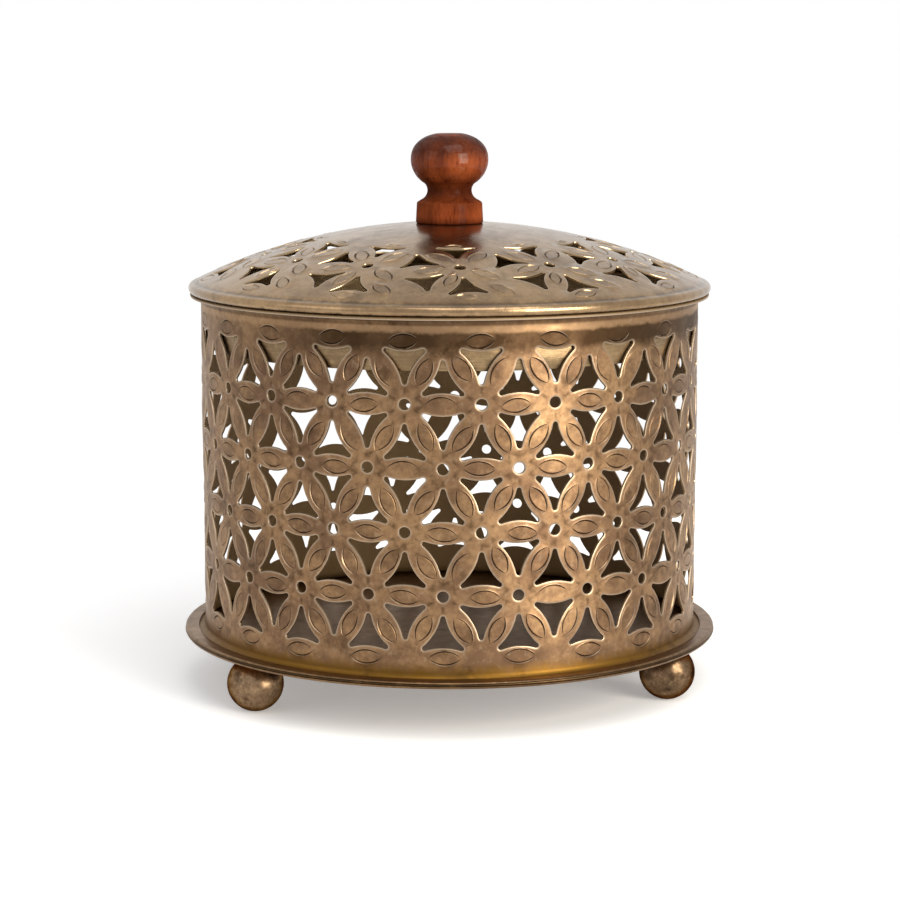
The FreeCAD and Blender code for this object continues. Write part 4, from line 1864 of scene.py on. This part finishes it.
@dataclass
class LidFittings:
    """Collar under the dome, the turned knob, and the screw and washer that hold it.

    A shade of the knob is given by its height, its reach and its strength.
    """

    collar_r: float = 53.1
    sheet: float = 0.5
    collar_bend_r: float = 0.3
    collar_cut: float = 0.1
    collar_around: int = 256
    knob_foot_r: float = 7.3
    knob_foot_top_r: float = 7.1
    knob_foot_h: float = 4.7
    knob_sole_r: float = 4.0
    knob_sole_edge_r: float = 0.45
    knob_edge_r: float = 0.6
    knob_edge_drop: float = 0.8
    knob_edge_deg: float = 60.0
    knob_shoulder: Point = (6.2, 5.1)
    knob_neck_r: float = 4.8
    knob_neck_steps: int = 7
    knob_waist: Point = (6.0, 9.0)
    knob_bulb_r: float = 8.4
    knob_bulb_z: float = 13.7
    knob_top: Point = (2.9, 19.35)
    knob_top_flat_r: float = 1.2
    knob_fullness: float = 2.3
    knob_around: int = 128
    knob_crease_deg: float = 60.0
    neck_shade: Triple = (7.2, 2.6, 0.85)
    top_shade: Triple = (13.6, 2.4, 0.8)
    foot_shade: Triple = (0.1, 0.6, 0.9)
    crown_shade: Triple = (19.3, 0.5, 0.2)
    bore_r: float = 1.8
    bore_h: float = 11.05
    screw_r: float = 1.75
    screw_head_r: float = 3.4
    screw_head_h: float = 2.0
    screw_point_h: float = 2.0
    slot_w: float = 0.9
    slot_depth: float = 0.9
    slot_over: float = 1.0
    slot_reach: float = 1.2
    washer_hole_r: float = 2.05
    washer_edge: float = 0.12
    steel_around: int = 64
    steel_crease_deg: float = 35.0

    def build(self, brass: bpy.types.Material, wood: bpy.types.Material, steel: bpy.types.Material) -> None:
        """Makes the fittings and puts them in place of their nodes.

        Args:
            brass: The collar's brass.
            wood: The knob's wood.
            steel: The fasteners' steel.
        """
        collar = Turning(self._collar_outline(), self.collar_around).mesh("collar_sleeve")
        add_piece("collar_sleeve", collar, brass, Body.LID, Slot.COLLAR, ["lid_collar"])
        foot_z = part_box("knob")[0].z / MM
        outline = [(radius, foot_z + height) for radius, height in self._knob_outline()]
        turned = Turning(outline, self.knob_around)
        knob = turned.mesh("turned_knob", lambda radius, height: self._knob_shade(height - foot_z))
        add_piece("turned_knob", knob, wood, Body.LID, Slot.KNOB, ["knob"], self.knob_crease_deg)
        washer = Turning(self._washer_outline(), self.steel_around).mesh("plain_washer")
        crease_deg = self.steel_crease_deg
        add_piece("plain_washer", washer, steel, Body.LID, Slot.FASTENER, ["knob_washer"], crease_deg)
        screw = self._screw_mesh()
        add_piece("slotted_screw", screw, steel, Body.LID, Slot.FASTENER, ["knob_screw"], crease_deg)

    def _collar_outline(self) -> list[Point]:
        """Draws the section of the sleeve and its flange.

        Returns:
            Points from its lower edge up the outside and down the inside.
        """
        low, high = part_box("lid_collar")
        bottom, top, flange_r = low.z / MM, high.z / MM, high.x / MM
        cut = self.collar_cut
        bend = (self.collar_r + self.collar_bend_r, top - self.sheet - self.collar_bend_r)
        inner_r = self.collar_r - self.sheet
        points = [(inner_r + cut, bottom), (self.collar_r - cut, bottom), (self.collar_r, bottom + cut)]
        points += run_points(points[-1], (self.collar_r, bend[1]), steps=4)
        points += arc_points(bend, self.collar_bend_r, 180, 90, steps=4)
        points += [(flange_r, top - self.sheet), (flange_r, top)]
        points += arc_points(bend, self.collar_bend_r + self.sheet, 90, 180, steps=5)
        end = (inner_r, bottom + cut)
        return points + run_points(points[-1], end, steps=4) + [end]

    def _knob_outline(self) -> list[Point]:
        """Draws the knob's section, with heights from its foot.

        Returns:
            Points from its bore out over foot, neck and bulb to its top.
        """
        round_r = self.knob_sole_edge_r
        slope_deg = self.knob_foot_r - self.knob_foot_top_r
        points = [(self.bore_r, 0.0), (self.knob_sole_r, 0.0)]
        points += arc_points((self.knob_foot_r - round_r, round_r), round_r, -90, 0, steps=4)
        corner_z = self.knob_foot_h - self.knob_edge_r * self.knob_edge_drop
        corner = (self.knob_foot_top_r - self.knob_edge_r, corner_z)
        points += run_points(points[-1], (self.knob_foot_top_r, corner_z), steps=3)
        points += arc_points(corner, self.knob_edge_r, slope_deg, self.knob_edge_deg, steps=5)
        half_h = (self.knob_waist[1] - self.knob_shoulder[1]) / 2
        dip = (self.knob_shoulder[0] + self.knob_waist[0]) / 2 - self.knob_neck_r
        bow_r = (half_h ** 2 + dip ** 2) / (2 * dip)
        tilt = (self.knob_waist[0] - self.knob_shoulder[0]) / 2
        for step in range(2 * self.knob_neck_steps + 1):
            share = step / self.knob_neck_steps - 1
            radius = self.knob_neck_r + bow_r - math.sqrt(bow_r ** 2 - (half_h * share) ** 2) + tilt * share
            points.append((radius, self.knob_shoulder[1] + half_h * (1 + share)))
        points += self._oval(self.knob_waist, steps=10)[1:]
        points += reversed(self._oval(self.knob_top, steps=18, fullness=self.knob_fullness)[:-1])
        points += [(self.knob_top_flat_r, self.knob_top[1]), (0.0, self.knob_top[1])]
        return points + [(0.0, self.bore_h), (self.bore_r, self.bore_h)]

    def _oval(self, end: Point, steps: int, fullness: float = 2.0) -> list[Point]:
        """Draws a quarter of the bulb's oval.

        Args:
            end: Where it starts.
            steps: Number of its steps.
            fullness: 2 for a plain oval, more for a fuller shoulder.

        Returns:
            Points up to its widest place.
        """
        power = 2 / fullness
        end_turn = math.acos((end[0] / self.knob_bulb_r) ** (1 / power))
        half_h = (end[1] - self.knob_bulb_z) / math.sin(end_turn) ** power
        points = []
        for step in range(steps + 1):
            turn = end_turn * (1 - step / steps)
            radius = self.knob_bulb_r * math.cos(turn) ** power
            points.append((radius, self.knob_bulb_z + half_h * math.sin(turn) ** power))
        return points

    def _knob_shade(self, height: float) -> float:
        """Darkens the wood, most in the neck and on top: painted shade in the hollow neck and along the
        foot's lower edge, and a darker top that eases off at the crown.

        Args:
            height: Height over the knob's foot.

        Returns:
            A share from 0 to 1.
        """
        dark = 0.0
        for place, reach, strength in (self.neck_shade, self.foot_shade):
            dark += math.exp(-((height - place) / reach) ** 2) * strength
        place, reach, strength = self.top_shade
        crown, fade, least = self.crown_shade
        top = min(1.0, max(0.0, (height - place) / reach)) * min(1.0, max(least, (crown - height) / fade))
        return min(1.0, dark + top * strength)

    def _washer_outline(self) -> list[Point]:
        """Draws the washer's section, with broken edges.

        Returns:
            Points from its hole out and back on top.
        """
        low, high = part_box("knob_washer")
        bottom, top, out_r = low.z / MM, high.z / MM, high.x / MM
        cut = self.washer_edge
        points = [(self.washer_hole_r, bottom), (out_r - cut, bottom), (out_r, bottom + cut)]
        return points + [(out_r, top - cut), (out_r - cut, top), (self.washer_hole_r, top)]

    def _screw_mesh(self) -> bpy.types.Mesh:
        """Makes a screw with a domed head and a slot across it.

        Returns:
            The mesh.
        """
        low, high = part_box("knob_screw")
        head_z, point_z = low.z / MM, high.z / MM
        seat_z = head_z + self.screw_head_h
        curve_r = (self.screw_head_r ** 2 + self.screw_head_h ** 2) / (2 * self.screw_head_h)
        swing = math.degrees(math.asin(self.screw_head_r / curve_r))
        points = [(0.0, head_z)]
        points += arc_points((0.0, head_z + curve_r), curve_r, -90, swing - 90, steps=10)[1:]
        points += [(self.screw_r, seat_z), (self.screw_r, point_z - self.screw_point_h), (0.0, point_z)]
        shank = put("screw_shank", Turning(points, self.steel_around, False).mesh("screw_shank"))
        half_w, half_l = self.slot_w / 2, self.screw_head_r * self.slot_reach
        levels = (head_z - self.slot_over, head_z + self.slot_depth)
        corners = [(x, y, z) for z in levels for y in (-half_w, half_w) for x in (-half_l, half_l)]
        sides = [(0, 2, 3, 1), (4, 5, 7, 6), (0, 1, 5, 4), (2, 6, 7, 3), (0, 4, 6, 2), (1, 3, 7, 5)]
        box = bpy.data.meshes.new("screw_slot")
        box.from_pydata([tuple(part * MM for part in corner) for corner in corners], [], sides)
        cutter = put("screw_slot", box)
        cut = shank.modifiers.new("slot", "BOOLEAN")
        cut.operation = "DIFFERENCE"
        cut.solver = "EXACT"
        cut.object = cutter
        mesh = shaped(shank, "slotted_screw")
        for item in (shank, cutter):
            bpy.data.objects.remove(item)
        return mesh


@dataclass(frozen=True)
class SoftLight:
    """A soft box aimed at a point of the object."""

    name: str
    place: Triple
    aim: Triple
    width: float
    height: float
    power: float
    tint: Colour = WHITE

    def add(self) -> None:
        """Hangs the light."""
        lamp = bpy.data.lights.new(self.name, "AREA")
        lamp.shape = "RECTANGLE"
        lamp.size = self.width
        lamp.size_y = self.height
        lamp.energy = self.power
        lamp.color = self.tint
        holder = put(self.name, lamp)
        holder.location = self.place
        way = Vector(self.aim) - Vector(self.place)
        holder.rotation_euler = way.to_track_quat("-Z", "Y").to_euler()


def seen_by_eye(graph: Graph) -> Sock:
    """1 for rays from the camera or from a reflection or refraction, and 0 for all others."""
    rays = graph.node("ShaderNodeLightPath")
    seen = rays["Is Camera Ray"] + rays["Is Glossy Ray"] + rays["Is Transmission Ray"]
    return graph.math("MINIMUM", seen, 1.0)


@dataclass
class Studio:
    """White studio: pale floor that fades into the background, soft boxes and the camera."""

    lens_mm: float = 101.4
    sensor_mm: float = 36.0
    clip_start: float = 0.01
    camera_place: Triple = (0.0001, -0.5514, 0.1391)
    pitch_deg: float = 9.104
    floor_half: float = 1.2
    floor_fade: Span = (0.14, 0.45)
    floor_colour: Colour = (0.93, 0.93, 0.93)
    floor_roughness: float = 0.9
    floor_specular: float = 0.1
    floor_lift: float = 0.26
    world_level: float = 0.6
    lights: tuple[SoftLight, ...] = (
        SoftLight("key", (0.47, -0.51, 0.21), (0.0, 0.0, 0.06), 0.36, 0.5, 5.6, (1.0, 0.96, 0.84)),
        SoftLight("fill", (-0.65, -0.4, 0.4), (0.0, 0.0, 0.05), 0.5, 0.5, 0.6),
        SoftLight("top", (0.15, -0.4, 0.8), (0.0, 0.0, 0.0), 0.6, 0.6, 3.0),
    )

    def build(self) -> None:
        """Sets up the whole studio."""
        bpy.context.scene.view_settings.view_transform = "Standard"
        self._world()
        self._floor()
        for light in self.lights:
            light.add()
        self._camera()

    def _world(self) -> None:
        """White to the camera and in reflections, softer as light on matt surfaces."""
        world = bpy.data.worlds.new("white_studio")
        world.use_nodes = True
        bpy.context.scene.world = world
        graph = Graph(world.node_tree)
        shown = seen_by_eye(graph)
        background = next(node for node in world.node_tree.nodes if node.type == "BACKGROUND")
        background.inputs["Color"].default_value = (*WHITE, 1.0)
        graph.feed(background.inputs["Strength"], shown * (1 - self.world_level) + self.world_level)

    def _floor(self) -> None:
        """Matt floor that keeps the shadow and fades out away from the object."""
        half = self.floor_half
        corners = [(-half, -half, 0), (half, -half, 0), (half, half, 0), (-half, half, 0)]
        mesh = bpy.data.meshes.new("floor")
        mesh.from_pydata(corners, [], [(0, 1, 2, 3)])
        surface = Surface("pale_floor")
        away = surface.vector("LENGTH", surface.place)
        surface.set(Base_Color=(*self.floor_colour, 1.0), Roughness=self.floor_roughness)
        surface.set(Specular_IOR_Level=self.floor_specular)
        surface.set(Emission_Color=seen_by_eye(surface), Emission_Strength=self.floor_lift)
        surface.set(Alpha=1 - surface.step(away, *(reach / MM for reach in self.floor_fade)))
        mesh.materials.append(surface.material)
        floor = put("floor", mesh)

    def _camera(self) -> None:
        """Camera at the photograph's place."""
        lens = bpy.data.cameras.new("camera")
        lens.lens = self.lens_mm
        lens.sensor_width = self.sensor_mm
        lens.clip_start = self.clip_start
        camera = put("camera", lens)
        camera.location = self.camera_place
        camera.rotation_euler = (math.radians(90.0 - self.pitch_deg), 0.0, 0.0)
        bpy.context.scene.camera = camera


BODY_BRASS = AgedBrass(
    "aged_body_brass",
    bright=(0.285, 0.168, 0.084),
    patina=(0.15, 0.085, 0.048),
    tarnish=(0.038, 0.02, 0.009),
    inside=(0.25, 0.158, 0.072),
    edge=(0.42, 0.33, 0.24),
    roughness=0.42,
    # Painted shade under the lid's edge.
    lid_shade_mm=(77.0, 80.4, 82.3, 83.3),
    # Painted reflection of the base, with painted shade, in the bend at the foot of the wall.
    painted_tone=(0.14, 0.068, 0.01),
    painted_tone_mm=(13.2, 16.4),
    grazing=(1.0, 0.95, 0.9),
)
BASE_BRASS = AgedBrass(
    "aged_base_brass",
    bright=(0.21, 0.125, 0.06),
    patina=(0.12, 0.07, 0.036),
    tarnish=(0.04, 0.023, 0.01),
    inside=(0.17, 0.115, 0.06),
    edge=(0.42, 0.31, 0.2),
    roughness=0.33,
    grazing=(1.0, 0.93, 0.87),
)
LID_BRASS = AgedBrass(
    "aged_lid_brass",
    bright=(0.372, 0.246, 0.132),
    patina=(0.222, 0.143, 0.08),
    tarnish=(0.052, 0.033, 0.018),
    inside=(0.3, 0.2, 0.09),
    edge=(0.38, 0.285, 0.185),
    roughness=0.22,
    mottle=0.35,
    stain=0.3,
    # Painted shade on the underside of the rolled edge.
    painted_tone=(0.03, 0.018, 0.009),
    painted_tone_mm=(85.7, 86.7),
)
COLLAR_BRASS = AgedBrass(
    "brushed_collar_brass",
    bright=(0.28, 0.19, 0.1),
    patina=(0.18, 0.12, 0.066),
    tarnish=(0.1, 0.07, 0.04),
    inside=(0.16, 0.11, 0.06),
    edge=(0.6, 0.45, 0.25),
    roughness=0.38,
    brush=(0.2, 0.2, 4.0),
    brush_share=0.5,
    brush_depth_mm=0.05,
)
FOOT_BRASS = AgedBrass(
    "mottled_foot_brass",
    bright=(0.33, 0.215, 0.125),
    patina=(0.105, 0.062, 0.036),
    tarnish=(0.012, 0.006, 0.003),
    inside=(0.15, 0.1, 0.05),
    edge=(0.5, 0.38, 0.2),
    roughness=0.29,
    grazing=(0.28, 0.235, 0.2),
    patina_share=0.54,
    stain=0.65,
    stain_scale=0.22,
    # Painted reflection of the plate's underside on the top of each ball.
    painted_tone=(0.2, 0.075, 0.018),
    painted_tone_mm=(10.6, 8.6),
)
KNOB_WOOD = LacqueredWood(
    "lacquered_wood",
    light=(0.26, 0.057, 0.016),
    middle=(0.078, 0.013, 0.004),
    dark=(0.02, 0.0035, 0.0015),
)
STEEL = PlainSteel("fastener_steel", colour=(0.55, 0.55, 0.53))


def main() -> None:
    """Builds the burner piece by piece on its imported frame, then the studio around it."""
    logging.basicConfig(level=logging.INFO, format="%(message)s")
    for item in list(bpy.data.objects):
        bpy.data.objects.remove(item)
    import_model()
    PiercedWall().build(BODY_BRASS.make())
    Base().build(BASE_BRASS.make(), FOOT_BRASS.make())
    PiercedDome().build(LID_BRASS.make())
    LidFittings().build(COLLAR_BRASS.make(), KNOB_WOOD.make(), STEEL.make())
    Studio().build()


if __name__ == "__main__":
    main()
